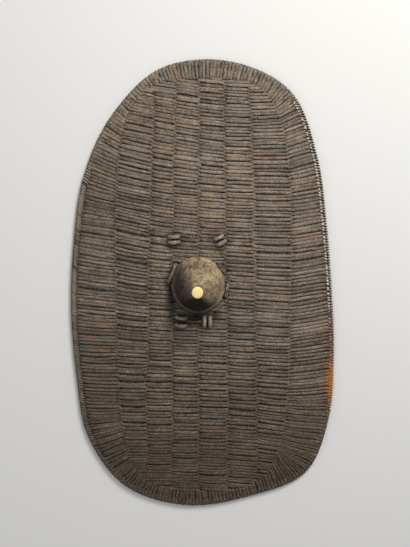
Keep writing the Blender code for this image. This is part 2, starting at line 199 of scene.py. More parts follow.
@dataclass
class EdgePath:
    """Reads places along the edge by their share of the way round.

    Attributes:
        outline: The edge.
        steps: How finely the edge is kept.
    """

    outline: Outline
    steps: int = 2880
    ring: Array = field(init=False)
    normals: Array = field(init=False)
    around: float = field(init=False)

    def __post_init__(self) -> None:
        """Lays out the fine ring, rounded like the solids' own."""
        self.ring = self.outline.even(self.outline.curve(), self.steps)
        self.normals = self.outline.inward(self.ring)
        self.around = float(np.hypot(*np.diff(np.vstack([self.ring, self.ring[:1]]), axis=0).T).sum())

    def share_at(self, x: float, y: float) -> float:
        """Returns the share of the way round that is nearest to a place."""
        return float(np.hypot(*(self.ring - np.array([x, y])).T).argmin()) / self.steps

    def at(self, share: Array, inset: Array | float) -> tuple[Array, Array]:
        """Reads places inside the edge.

        Args:
            share: Share of the way round, from 0 to 1 and periodic.
            inset: Distance inside the edge.

        Returns:
            The places, and the inward normals there.
        """
        where = np.mod(share, 1.0) * self.steps
        low = where.astype(int) % self.steps
        part = (where - np.floor(where))[:, None]
        high = (low + 1) % self.steps
        normal = self.normals[low] * (1 - part) + self.normals[high] * part
        normal /= np.hypot(*normal.T)[:, None]
        place = self.ring[low] * (1 - part) + self.ring[high] * part
        return place + np.asarray(inset)[..., None] * normal, normal


@dataclass
class Panel:
    """Form of the domed panel that everything is woven on.

    Attributes:
        outline: The shield's edge.
        rim_width: Width of the roll round the edge.
        edge_height: Height of the middle surface at the panel's edge.
        rise: How much higher the middle is.
        dome_power: How flat the dome's top is.
        valley: Half thickness in the valleys.
        front_swell: How much a crest stands out in front.
        back_swell: How much a crest stands out behind.
        half_width: Half width of the field of upright slats.
        half_length: Half length of the field.
        power: Squareness of the field.
        edges: Where the valleys between the columns lie at mid height.
        spread: How much the valleys lean outwards towards the lower end.
    """

    outline: Outline
    rim_width: float = 0.015
    gap: float = 0.0003
    edge_height: float = 0.0085
    rise: float = 0.0695
    dome_power: float = 2.2
    valley: float = 0.0042
    front_swell: float = 0.0026
    back_swell: float = 0.0014
    half_width: float = 0.189
    half_length: float = 0.458
    power: float = 4.0
    edges: tuple[float, ...] = (-0.117, -0.065, -0.010, 0.049, 0.111)
    spread: float = 0.25
    angles: Array = field(init=False)
    radii: Array = field(init=False)

    def __post_init__(self) -> None:
        """Keeps the panel's edge as radii by angle."""
        ring = self.outline.solid_ring(self.rim_width + self.gap)
        angles = np.arctan2(ring[:, 1], ring[:, 0])
        order = np.argsort(angles)
        self.angles, self.radii = angles[order], np.hypot(*ring.T)[order]

    def edge_radius(self, angle: Array) -> Array:
        """Returns the distance from the middle to the panel's edge."""
        return np.interp(angle, self.angles, self.radii, period=2 * math.pi)

    def field_radius(self, angle: Array) -> Array:
        """Returns the distance from the middle to the border line."""
        across = np.abs(np.cos(angle) / self.half_width) ** self.power
        along = np.abs(np.sin(angle) / self.half_length) ** self.power
        return (across + along) ** (-1 / self.power)

    def column_edge(self, k: int, y: Array) -> Array:
        """Returns where valley k lies at height y."""
        return self.edges[k] * (1 - self.spread * y)

    def middle(self, x: Array, y: Array) -> Array:
        """Returns the height of the middle surface."""
        reach = np.minimum(np.hypot(x, y) / self.edge_radius(np.arctan2(y, x)), 1.0)
        return self.edge_height + self.rise * (1 - reach**self.dome_power)

    def normal(self, x: Array, y: Array) -> Array:
        """Returns the upward unit normals of the middle surface."""
        step = 0.002
        slope_x = (self.middle(x + step, y) - self.middle(x - step, y)) / (2 * step)
        slope_y = (self.middle(x, y + step) - self.middle(x, y - step)) / (2 * step)
        up = np.stack([-slope_x, -slope_y, np.ones_like(slope_x)], axis=-1)
        return up / np.linalg.norm(up, axis=-1, keepdims=True)

    def lifted(self, x: Array, y: Array, height: Array) -> Array:
        """Places points at a height over the middle surface.

        Args:
            x: First coordinates.
            y: Second coordinates.
            height: Height over the middle surface.

        Returns:
            The points in space.
        """
        return np.stack([x, y, self.middle(x, y) + height], axis=-1)

    def front(self, x: float, y: float) -> float:
        """Returns the height of the crests' front at one place."""
        return float(self.middle(np.array(x), np.array(y))) + self.valley + self.front_swell

    def border_share(self, x: Array, y: Array) -> Array:
        """Returns 0 on the border line and 1 at the panel's edge, below 0 in the field."""
        angle, reach = np.arctan2(y, x), np.hypot(x, y)
        inner, outer = self.field_radius(angle), self.edge_radius(angle)
        return (reach - inner) / (outer - inner)


@dataclass(frozen=True)
class Spot:
    """One worn, stained or dusty place.

    Attributes:
        x: Its middle, across.
        y: Its middle, along.
        half_width: Reach across.
        half_length: Reach along.
        amount: Strength.
    """

    x: float
    y: float
    half_width: float
    half_length: float
    amount: float


@dataclass(frozen=True)
class Patina:
    """What age has left on the front: stains, grey patches, dust and bare chips; also painted shadow round the boss and
    the ties, and a darkening towards the bottom.

    Attributes:
        panel: Form that it lies on.
    """

    panel: Panel
    rust: tuple[tuple[float, ...], ...] = (
        (-0.254, -0.094, 0.034, 0.011, 0.9), (-0.231, -0.121, 0.028, 0.007, 0.9), (-0.225, -0.069, 0.026, 0.009, 0.6),
        (-0.240, -0.202, 0.026, 0.009, 0.8), (-0.220, -0.221, 0.015, 0.004, 0.7), (0.215, 0.124, 0.019, 0.009, 0.6),
        (-0.253, 0.279, 0.017, 0.011, 0.5), (-0.099, 0.323, 0.011, 0.009, 0.6), (-0.055, 0.466, 0.013, 0.009, 0.9),
        (-0.036, -0.394, 0.013, 0.007, 0.8), (0.029, -0.395, 0.015, 0.007, 0.7), (0.082, -0.370, 0.034, 0.017, 0.6),
        (-0.059, 0.392, 0.007, 0.043, 0.35), (-0.057, 0.225, 0.007, 0.065, 0.4), (0.235, -0.137, 0.030, 0.007, 0.5),
        (-0.007, -0.288, 0.039, 0.009, 0.5), (-0.184, -0.245, 0.043, 0.009, 0.4), (0.097, -0.161, 0.022, 0.007, 0.3),
        (0.284, -0.105, 0.007, 0.070, 0.9), (0.277, 0.225, 0.005, 0.040, 0.6), (0.286, -0.290, 0.008, 0.030, 0.5),
    )
    slate: tuple[tuple[float, ...], ...] = (
        (0.071, 0.352, 0.017, 0.017, 1.0), (-0.114, 0.354, 0.013, 0.011, 0.6), (-0.194, 0.277, 0.013, 0.011, 0.5),
        (-0.215, 0.126, 0.015, 0.011, 0.6), (-0.155, 0.143, 0.017, 0.011, 0.6), (-0.158, 0.071, 0.019, 0.009, 0.5),
        (-0.217, 0.044, 0.017, 0.009, 0.5), (0.061, 0.094, 0.011, 0.047, 0.6), (0.277, -0.199, 0.005, 0.030, 1.0),
        (-0.007, 0.319, 0.017, 0.017, 0.5), (0.021, -0.115, 0.017, 0.022, 0.35), (-0.028, -0.104, 0.026, 0.017, 0.4),
        (0.227, 0.277, 0.022, 0.013, 0.5), (0.004, 0.267, 0.034, 0.030, 0.3),
    )
    dust: tuple[tuple[float, ...], ...] = (
        (-0.140, 0.403, 0.011, 0.009, 1.0), (-0.128, 0.431, 0.011, 0.009, 0.8), (-0.166, 0.376, 0.011, 0.011, 0.7),
        (-0.186, 0.326, 0.007, 0.007, 1.0), (-0.049, 0.419, 0.007, 0.004, 0.9), (0.029, 0.398, 0.026, 0.009, 0.6),
        (0.073, 0.388, 0.017, 0.009, 0.6), (0.137, 0.350, 0.030, 0.024, 0.6), (-0.097, 0.098, 0.017, 0.022, 0.7),
        (-0.089, 0.070, 0.011, 0.007, 0.8), (-0.116, 0.167, 0.009, 0.007, 1.0), (-0.019, 0.194, 0.017, 0.009, 0.6),
        (0.037, 0.176, 0.015, 0.026, 0.6), (-0.080, -0.147, 0.015, 0.007, 0.6), (-0.177, -0.179, 0.009, 0.003, 1.0),
        (0.008, 0.225, 0.043, 0.065, 0.35), (0.077, 0.225, 0.022, 0.108, 0.35), (-0.038, 0.308, 0.026, 0.065, 0.4),
        (-0.112, 0.288, 0.054, 0.086, 0.25), (0.090, -0.105, 0.030, 0.030, 0.4), (-0.194, 0.010, 0.007, 0.129, 0.35),
        (0.109, 0.204, 0.005, 0.129, 0.6), (-0.127, 0.414, 0.065, 0.043, 0.3),
    )
    chips: tuple[tuple[float, ...], ...] = (
        (0.151, 0.028, 0.0019, 0.0019, 1.0), (0.236, -0.014, 0.0026, 0.0019, 0.8), (-0.163, -0.168, 0.0022, 0.0019, 1.0),
        (0.156, -0.190, 0.0043, 0.0019, 1.0), (0.080, 0.426, 0.0026, 0.0017, 0.9), (0.126, 0.229, 0.0019, 0.0026, 0.9),
        (-0.186, 0.054, 0.0026, 0.0017, 0.9), (-0.126, 0.411, 0.0022, 0.0022, 0.8), (-0.136, 0.420, 0.0022, 0.0028, 0.8),
        (-0.132, 0.397, 0.0026, 0.0022, 0.8),
    )
    # painted shadow: dark spots round the boss and by the ties, where their shadows fall, and one near the lower left
    # edge
    soot: tuple[tuple[float, ...], ...] = (
        (-0.061, 0.1215, 0.021, 0.019, 1.2), (0.034, 0.121, 0.019, 0.017, 1.2), (-0.047, -0.053, 0.020, 0.018, 1.1),
        (0.009, -0.052, 0.016, 0.018, 1.1), (-0.018, -0.046, 0.030, 0.010, 0.9), (-0.069, 0.014, 0.008, 0.034, 1.2),
        (0.050, 0.012, 0.005, 0.022, 0.9), (-0.062, 0.060, 0.007, 0.022, 0.6), (-0.010, -0.040, 0.034, 0.007, 0.9),
        (0.050, 0.064, 0.008, 0.012, 0.6), (-0.172, -0.388, 0.020, 0.004, 0.7), (-0.062, -0.010, 0.014, 0.030, 0.5),
        (-0.075, 0.035, 0.012, 0.020, 0.35), (0.030, -0.040, 0.014, 0.010, 0.6),
    )
    amber: tuple[tuple[float, ...], ...] = ((0.288, -0.205, 0.009, 0.040, 1.0),)
    lines: tuple[tuple[int, float, float, float], ...] = (
        (4, 0.14, 0.15, 0.55), (3, -0.20, 0.16, 0.30), (0, 0.05, 0.20, 0.30), (1, 0.25, 0.12, 0.30), (0, -0.30, 0.10, 0.35),
    )
    clogged: tuple[tuple[float, ...], ...] = (
        (-0.140, 0.390, 0.090, 0.070, 0.55), (-0.010, 0.210, 0.070, 0.170, 0.40), (-0.200, 0.210, 0.050, 0.150, 0.30),
        (-0.060, 0.040, 0.060, 0.060, 0.25), (0.000, -0.430, 0.250, 0.060, 0.35), (0.020, 0.400, 0.100, 0.050, 0.25),
    )
    open_weave: tuple[tuple[float, ...], ...] = (
        (0.140, 0.180, 0.045, 0.200, 0.35), (-0.150, 0.030, 0.040, 0.070, 0.45), (-0.240, -0.150, 0.050, 0.140, 0.60),
        (0.000, -0.170, 0.200, 0.080, 0.25), (0.160, -0.190, 0.140, 0.110, 0.60), (-0.130, 0.280, 0.050, 0.050, 0.25),
    )
    line_width: float = 0.0030
    noise: SmoothNoise = SmoothNoise(11)

    def clog(self, x: Array, y: Array) -> Array:
        """Returns how full of dirt the weave is, from 0 for open gaps to 1."""
        swings = 0.42 * self.noise.layered(x / 0.045 + 3, y / 0.022 - 8, 3)
        return np.clip(0.42 + swings + self._spread(self.clogged, x, y) - self._spread(self.open_weave, x, y), 0.0, 1.0)

    def _along_lines(self, x: Array, y: Array) -> Array:
        """Returns how near places are to the valleys, and to the border line."""
        angle = np.arctan2(y, x)
        off = np.hypot(x, y) - self.panel.field_radius(angle)
        total = 0.50 * np.exp(-((off / (1.3 * self.line_width)) ** 2))
        inside = np.clip(-off / 0.004, 0, 1)
        for k in range(len(self.panel.edges)):
            amount = np.full_like(x, 0.28)
            for line, middle, reach, more in self.lines:
                if line == k:
                    amount += more * np.exp(-(((y - middle) / reach) ** 4))
            off = x - self.panel.column_edge(k, y)
            total += amount * inside * np.exp(-((off / self.line_width) ** 2))
        return total * np.clip(0.75 + 1.1 * self.noise.layered(x / 0.006, y / 0.005, 2), 0.0, 1.6)

    @staticmethod
    def _spread(spots: tuple[tuple[float, ...], ...], x: Array, y: Array) -> Array:
        """Returns the sum of soft spots at the places."""
        total = np.zeros_like(x)
        for values in spots:
            spot = Spot(*values)
            away = ((x - spot.x) / spot.half_width) ** 2 + ((y - spot.y) / spot.half_length) ** 2
            total += spot.amount * np.exp(-away)
        return total

    def values(self, x: Array, y: Array) -> dict[str, Array]:
        """Reads the patina.

        Args:
            x: First coordinates.
            y: Second coordinates.

        Returns:
            Strength of each kind at each place.
        """
        ragged = 0.75 + 0.5 * self.noise.layered(x / 0.012, y / 0.006, 3)
        wide = self.noise.layered(x / 0.07 + 5, y / 0.05, 3)
        rust = self._spread(self.rust, x, y) * ragged + np.clip(0.7 * self.noise.layered(x / 0.04 - 7, y / 0.012, 3) - 0.12, 0, 1)
        slate = self._spread(self.slate, x, y) * ragged + np.clip(1.2 * wide - 0.16, 0, 1)
        upper = np.clip(0.45 + y / 0.6, 0.0, 1.0)
        dust = self._spread(self.dust, x, y) * ragged + 0.14 * upper + np.clip(-wide - 0.24, 0, 1)
        return {
            "rust": rust,
            "slate": slate,
            "dust": dust + self._along_lines(x, y),
            "chips": self._spread(self.chips, x, y),
            "soot": np.clip(self._spread(self.soot, x, y) * (0.5 + 0.5 * ragged), 0, 1),
            "amber": np.clip(self._spread(self.amber, x, y) * 1.6, 0, 1),
            # the lower part darker and browner
            "darker_below": np.clip((-0.04 - y) / 0.36, 0, 1),
            "clog": self.clog(x, y),
        }


class Soup:
    """Vertices, faces and values of many strands that become one mesh."""

    def __init__(self) -> None:
        """Starts empty."""
        self.points: list[Array] = []
        self.quads: list[Array] = []
        self.tris: list[Array] = []
        self.values: dict[str, list[Array]] = {}
        self.count = 0

    def add(self, points: Array, quads: Array, tris: Array, values: dict[str, Array]) -> None:
        """Adds one closed form.

        Args:
            points: Its vertices.
            quads: Four-sided faces, by its own vertex numbers.
            tris: Three-sided faces, by its own vertex numbers.
            values: One value, or one vector, for each vertex.
        """
        self.points.append(points)
        self.quads.append(quads.reshape(-1, 4) + self.count)
        self.tris.append(tris.reshape(-1, 3) + self.count)
        for name, value in values.items():
            self.values.setdefault(name, []).append(value)
        self.count += len(points)

    def build(self, name: str, material: bpy.types.Material) -> bpy.types.Object:
        """Makes the mesh and puts it on the shield.

        Args:
            name: Name of the piece.
            material: Its finish.

        Returns:
            The new piece.
        """
        points = np.concatenate(self.points)
        quads, tris = np.concatenate(self.quads), np.concatenate(self.tris)
        mesh = bpy.data.meshes.new(name)
        mesh.vertices.add(len(points))
        mesh.vertices.foreach_set("co", points.astype(np.float32).ravel())
        mesh.loops.add(4 * len(quads) + 3 * len(tris))
        mesh.loops.foreach_set("vertex_index", np.concatenate([quads.ravel(), tris.ravel()]).astype(np.int32))
        mesh.polygons.add(len(quads) + len(tris))
        starts = np.concatenate([4 * np.arange(len(quads)), 4 * len(quads) + 3 * np.arange(len(tris))])
        mesh.polygons.foreach_set("loop_start", starts.astype(np.int32))
        mesh.update(calc_edges=True)
        mesh.polygons.foreach_set("use_smooth", np.ones(len(mesh.polygons), bool))
        for label, parts in self.values.items():
            value = np.concatenate(parts).astype(np.float32)
            kind, slot = ("FLOAT", "value") if value.ndim == 1 else ("FLOAT_VECTOR", "vector")
            mesh.attributes.new(label, kind, "POINT").data.foreach_set(slot, value.ravel())
        mesh.materials.append(material)
        piece = bpy.data.objects.new(name, mesh)
        bpy.context.scene.collection.objects.link(piece)
        return piece


@dataclass
class Strand:
    """One tube of changing width that follows a path.

    Attributes:
        path: Places along it.
        up: Directions that its flat face looks in.
        half_width: Half its width at each place.
        half_height: Half its thickness at each place.
        tone: How light it is, 0 for plain.
        sides: Sides of its section.
        twist: Turn of the section at each place, in radians.
        plies: Lobes of a twisted cord's section, 0 for a plain strand.
        shade: Painted shade at each place, from 0 to 1.
    """

    path: Array
    up: Array
    half_width: Array | float
    half_height: Array | float
    tone: Array | float = 0.0
    sides: int = 8
    twist: Array | float = 0.0
    plies: int = 0
    shade: Array | float = 0.0
    squareness: float = 1.0
    tint: Array | float = 0.0

    def into(self, soup: Soup, offset: float) -> None:
        """Adds the strand to a soup.

        Args:
            soup: Receives the strand.
            offset: Shift of its grain, so that no two strands look the same.
        """
        count, sides = len(self.path), self.sides
        along = np.gradient(self.path, axis=0)
        along /= np.linalg.norm(along, axis=1, keepdims=True)
        side = np.cross(self.up, along)
        side /= np.linalg.norm(side, axis=1, keepdims=True)
        rise = np.cross(along, side)
        turn = 2 * np.pi * np.arange(sides) / sides
        full = np.ones(count)
        twist = (self.twist * full)[:, None]
        cos, sin = np.cos(turn), np.sin(turn)
        cos = np.sign(cos) * np.abs(cos) ** self.squareness
        sin = np.sign(sin) * np.abs(sin) ** self.squareness
        wide = (self.half_width * full)[:, None] * cos[None, :]
        high = (self.half_height * full)[:, None] * sin[None, :]
        if self.plies:
            lobes = 0.80 + 0.20 * np.abs(np.cos(0.5 * self.plies * (turn[None, :] - twist)))
            wide, high = wide * lobes, high * lobes
        else:
            wide, high = wide * np.cos(twist) - high * np.sin(twist), wide * np.sin(twist) + high * np.cos(twist)
        body = self.path[:, None, :] + wide[..., None] * side[:, None, :] + high[..., None] * rise[:, None, :]
        points = np.concatenate([body.reshape(-1, 3), self.path[:1], self.path[-1:]])
        ring, nxt = np.arange(sides), (np.arange(sides) + 1) % sides
        base = sides * np.arange(count - 1)[:, None]
        quads = np.stack([base + ring, base + nxt, base + sides + nxt, base + sides + ring], axis=-1)
        last = sides * (count - 1)
        first_cap = np.stack([nxt, ring, np.full(sides, sides * count)], axis=-1)
        last_cap = np.stack([last + ring, last + nxt, np.full(sides, sides * count + 1)], axis=-1)
        travelled = np.concatenate([[0.0], np.cumsum(np.linalg.norm(np.diff(self.path, axis=0), axis=1))])
        grain = np.stack([np.broadcast_to(travelled[:, None] + offset, wide.shape), wide + 0.37 * offset, high], axis=-1)
        ends = np.array([[travelled[0] + offset, 0.37 * offset, 0.0], [travelled[-1] + offset, 0.37 * offset, 0.0]])

        def each(value: Array | float) -> Array:
            """Returns one value for each vertex from one for each place."""
            spread = np.repeat(value * full, sides)
            return np.concatenate([spread, spread[:1], spread[-1:]])

        crest = np.concatenate([np.broadcast_to(sin[None, :], wide.shape).ravel(), [0.0, 0.0]])
        values = {
            "grain": np.concatenate([grain.reshape(-1, 3), ends]),
            "tone": each(self.tone),
            "shade": each(self.shade),
            "tint": each(self.tint),
            "crest": crest,
        }
        soup.add(points, quads, np.concatenate([first_cap, last_cap]), values)


def smooth_path(corners: Array, rounds: int = 3) -> Array:
    """Rounds a path off by cutting its corners.

    Args:
        corners: Places of the path.
        rounds: How many times the corners are cut.

    Returns:
        The rounded path, with the same two ends.
    """
    path = np.asarray(corners, float)
    for _ in range(rounds):
        low, high = path[:-1], path[1:]
        cut = np.stack([0.75 * low + 0.25 * high, 0.25 * low + 0.75 * high], axis=1).reshape(-1, 3)
        path = np.vstack([path[:1], cut[1:-1], path[-1:]])
    return path


def spaced(path: Array, step: float) -> Array:
    """Spaces a path's places evenly.

    Args:
        path: Places of the path.
        step: Distance wanted between two places.

    Returns:
        The evenly spaced path.
    """
    travelled = np.concatenate([[0.0], np.cumsum(np.linalg.norm(np.diff(path, axis=0), axis=1))])
    wanted = np.linspace(0.0, travelled[-1], max(int(travelled[-1] / step), 4))
    return np.stack([np.interp(wanted, travelled, path[:, k]) for k in range(3)], axis=1)


class NodeSheet:
    """A material's nodes under construction."""

    def __init__(self, name: str) -> None:
        """Starts a material.

        Args:
            name: Name of the material.
        """
        self.material = bpy.data.materials.new(name)
        self.material.use_nodes = True
        self.tree = self.material.node_tree
        self.shader = self.tree.nodes["Principled BSDF"]

    def add(self, kind: str, inputs: dict | None = None, **settings: object) -> bpy.types.Node:
        """Adds a node.

        Args:
            kind: Type of the node.
            inputs: Values or sockets for its inputs, by name or number.
            **settings: Its own properties.

        Returns:
            The node.
        """
        node = self.tree.nodes.new(kind)
        for name, value in settings.items():
            setattr(node, name, value)
        for name, value in (inputs or {}).items():
            self.feed(node.inputs[name], value)
        return node

    def feed(self, socket: bpy.types.NodeSocket, value: object) -> None:
        """Links a socket to another, or sets its plain value."""
        if isinstance(value, bpy.types.NodeSocket):
            self.tree.links.new(value, socket)
        else:
            socket.default_value = value

    def attribute(self, name: str, vector: bool = False) -> bpy.types.NodeSocket:
        """Returns a mesh value, or a mesh vector."""
        node = self.add("ShaderNodeAttribute", attribute_name=name)
        return node.outputs["Vector" if vector else "Fac"]

    def place(self) -> bpy.types.NodeSocket:
        """Returns the place on the shield."""
        return self.add("ShaderNodeTexCoord").outputs["Object"]

    def scaled(self, vector: bpy.types.NodeSocket, scale: tuple[float, float, float]) -> bpy.types.NodeSocket:
        """Returns a vector stretched by three numbers."""
        return self.add("ShaderNodeVectorMath", {0: vector, 1: scale}, operation="MULTIPLY").outputs[0]

    def noise(
        self, vector: bpy.types.NodeSocket, scale: float, detail: float = 3.0, rough: float = 0.55, warp: float = 0.0
    ) -> bpy.types.NodeSocket:
        """Returns a noise value from about 0 to 1.

        Args:
            vector: Where the noise is read.
            scale: Its fineness.
            detail: Number of finer layers.
            rough: Strength of the finer layers.
            warp: How much it is bent.
        """
        inputs = {"Vector": vector, "Scale": scale, "Detail": detail, "Roughness": rough, "Distortion": warp}
        return self.add("ShaderNodeTexNoise", inputs).outputs["Fac"]

    def math(self, operation: str, *values: object) -> bpy.types.NodeSocket:
        """Returns the result of a sum on values or sockets."""
        return self.add("ShaderNodeMath", dict(enumerate(values)), operation=operation).outputs[0]

    def between(self, value: object, low: float, high: float, start: float = 0.0, end: float = 1.0) -> bpy.types.NodeSocket:
        """Maps a range of a value to another range, and keeps it inside.

        Args:
            value: What is mapped.
            low: Value that gives start.
            high: Value that gives end.
            start: Result at low.
            end: Result at high.

        Returns:
            The mapped value.
        """
        return self.add("ShaderNodeMapRange", {0: value, 1: low, 2: high, 3: start, 4: end}).outputs[0]

    def ramp(self, value: object, stops: tuple[tuple[float, tuple[float, float, float]], ...]) -> bpy.types.NodeSocket:
        """Turns a value into a colour.

        Args:
            value: Value from 0 to 1.
            stops: Places and colours.

        Returns:
            The colour.
        """
        node = self.add("ShaderNodeValToRGB", {0: value})
        elements = node.color_ramp.elements
        while len(elements) < len(stops):
            elements.new(0.5)
        for element, (place, colour) in zip(elements, stops):
            element.position = place
            element.color = (*colour, 1.0)
        return node.outputs[0]

    def mix(self, share: object, first: object, second: object) -> bpy.types.NodeSocket:
        """Mixes two colours.

        Args:
            share: Share of the second colour.
            first: Colour or socket.
            second: Colour or socket.

        Returns:
            The mixed colour.
        """
        first, second = ((*c, 1.0) if isinstance(c, tuple) else c for c in (first, second))
        return self.add("ShaderNodeMix", {0: share, 6: first, 7: second}, data_type="RGBA").outputs[2]

    def bump(self, height: object, distance: float, strength: float = 1.0) -> bpy.types.NodeSocket:
        """Returns the normal of a relief.

        Args:
            height: Height from 0 to 1.
            distance: What a height of 1 stands for.
            strength: Share of the relief that shows.
        """
        return self.add("ShaderNodeBump", {"Height": height, "Distance": distance, "Strength": strength}).outputs[0]

    def finish(self, colour: object, roughness: object, normal: bpy.types.NodeSocket | None = None) -> bpy.types.Material:
        """Feeds the shader.

        Args:
            colour: Base colour.
            roughness: Roughness.
            normal: Normal of the relief.

        Returns:
            The finished material.
        """
        self.feed(self.shader.inputs["Base Color"], (*colour, 1.0) if isinstance(colour, tuple) else colour)
        self.feed(self.shader.inputs["Roughness"], roughness)
        if normal is not None:
            self.feed(self.shader.inputs["Normal"], normal)
        return self.material


@dataclass(frozen=True)
class CaneFinish:
    """Old, darkened cane: dark, fibrous strands with dust, stains and chips, with painted shade in the grooves and
    crossings, painted highlight specks on the crests, painted shadow round the boss and ties, and darker towards the
    bottom.

    Attributes:
        name: Name of the material.
        dark: Colour in the dirt and in the painted shade of the grooves.
        middle: Colour of a plain strand.
        light: Colour of a worn, pale strand.
        dust: Colour of dust.
        rust: Colour of a red-brown stain.
        slate: Colour of a blue-grey patch.
        roughness: Roughness of a plain strand.
        lift: Added to how light it all is.
    """

    name: str
    dark: tuple[float, float, float] = (0.020, 0.014, 0.009)
    middle: tuple[float, float, float] = (0.142, 0.110, 0.080)
    light: tuple[float, float, float] = (0.390, 0.310, 0.225)
    dust: tuple[float, float, float] = (0.410, 0.320, 0.215)
    rust: tuple[float, float, float] = (0.290, 0.115, 0.048)
    slate: tuple[float, float, float] = (0.150, 0.152, 0.142)
    ochre: tuple[float, float, float] = (0.340, 0.225, 0.105)
    painted_highlight_specks: tuple[float, float, float] = (0.620, 0.530, 0.420)
    darker_below: tuple[float, float, float] = (0.050, 0.030, 0.015)
    amber: tuple[float, float, float] = (0.560, 0.190, 0.050)
    soot: tuple[float, float, float] = (0.007, 0.005, 0.004)
    chip: tuple[float, float, float] = (0.66, 0.62, 0.52)
    roughness: float = 0.66
    lift: float = 0.0
    fibre_scale: tuple[float, float, float] = (60.0, 1500.0, 1500.0)

    def make(self) -> bpy.types.Material:
        """Returns the material."""
        sheet = NodeSheet(self.name)
        grain, place = sheet.attribute("grain", vector=True), sheet.place()
        crest = sheet.attribute("crest")
        fibre = sheet.noise(sheet.scaled(grain, self.fibre_scale), 1.0, 3.0, 0.6)
        streak = sheet.noise(sheet.scaled(grain, (24.0, 620.0, 620.0)), 1.0, 2.0, 0.5)
        blotch = sheet.noise(place, 95.0, 4.0, 0.6)
        mottle = sheet.noise(place, 300.0, 3.0, 0.75)
        tone = sheet.math("ADD", sheet.attribute("tone"), 0.5 + self.lift)
        for value, amount in ((fibre, 0.35), (streak, 0.90), (blotch, 0.45), (mottle, 2.00)):
            tone = sheet.math("MULTIPLY_ADD", sheet.math("SUBTRACT", value, 0.5), amount, tone)
        # painted shade: the low sides of each strand darker, less where dirt fills the gaps
        depth = sheet.between(sheet.attribute("clog"), 0.1, 0.9, -0.55, -0.06)
        tone = sheet.math("MULTIPLY_ADD", sheet.between(crest, -0.7, 0.65, 1.0, -0.05), depth, tone)
        # painted shade at crossings and strand ends, from the shade value
        tone = sheet.math("MULTIPLY_ADD", sheet.attribute("shade"), -0.35, tone)
        colour = sheet.ramp(tone, ((0.05, self.dark), (0.50, self.middle), (1.0, self.light)))
        ochre = sheet.between(sheet.attribute("tint"), 0.9, 2.3, 0.0, 0.60)
        colour = sheet.mix(sheet.math("MULTIPLY", ochre, sheet.between(blotch, 0.42, 0.60)), colour, self.ochre)
        grey = sheet.between(sheet.attribute("tint"), -0.9, -2.3, 0.0, 0.55)
        colour = sheet.mix(sheet.math("MULTIPLY", grey, sheet.between(tone, 0.1, 0.6)), colour, self.slate)
        speck = sheet.noise(place, 520.0, 2.0, 0.6)
        dusty = sheet.math("MULTIPLY", sheet.attribute("dust"), sheet.between(blotch, 0.25, 0.70, 0.35, 1.0))
        dusty = sheet.math("MULTIPLY", dusty, sheet.between(speck, 0.45, 0.62, 0.25, 1.0))
        stain = sheet.math("MULTIPLY", sheet.attribute("rust"), sheet.between(streak, 0.36, 0.58, 0.25, 1.0))
        patch = sheet.math("MULTIPLY", sheet.attribute("slate"), sheet.between(mottle, 0.30, 0.62, 0.45, 0.95))
        colour = sheet.mix(sheet.between(patch, 0.0, 1.0, 0.0, 0.8), colour, self.slate)
        colour = sheet.mix(sheet.between(stain, 0.0, 1.0, 0.0, 0.85), colour, self.rust)
        # darker and browner towards the bottom
        darkened_below = sheet.math("MULTIPLY", sheet.attribute("darker_below"), sheet.between(mottle, 0.35, 0.65, 1.0, 0.55))
        colour = sheet.mix(darkened_below, colour, self.darker_below)
        colour = sheet.mix(sheet.between(dusty, 0.0, 1.0, 0.0, 0.85), colour, self.dust)
        # painted highlight: small pale specks on the strands' crests
        painted_highlight_specks = sheet.math("MULTIPLY", sheet.between(speck, 0.64, 0.72), sheet.between(crest, 0.0, 0.6, 0.0, 0.5))
        colour = sheet.mix(painted_highlight_specks, colour, self.painted_highlight_specks)
        pit = sheet.between(sheet.noise(place, 430.0, 2.0, 0.6, 0.4), 0.36, 0.29, 0.0, 0.6)
        colour = sheet.mix(pit, colour, self.dark)
        glow = sheet.math("MULTIPLY", sheet.attribute("amber"), sheet.between(crest, -0.2, 0.4, 0.1, 0.95))
        colour = sheet.mix(glow, colour, self.amber)
        # painted shadow round the boss and by the ties, very dark
        colour = sheet.mix(sheet.between(sheet.attribute("soot"), 0.1, 1.0, 0.0, 0.9), colour, self.soot)
        colour = sheet.mix(sheet.between(sheet.attribute("chips"), 0.3, 0.6), colour, self.chip)
        roughness = sheet.between(fibre, 0.2, 0.8, self.roughness + 0.12, self.roughness - 0.12)
        relief = sheet.math("MULTIPLY_ADD", streak, 0.8, fibre)
        return sheet.finish(colour, roughness, sheet.bump(relief, 0.0008, 0.9))


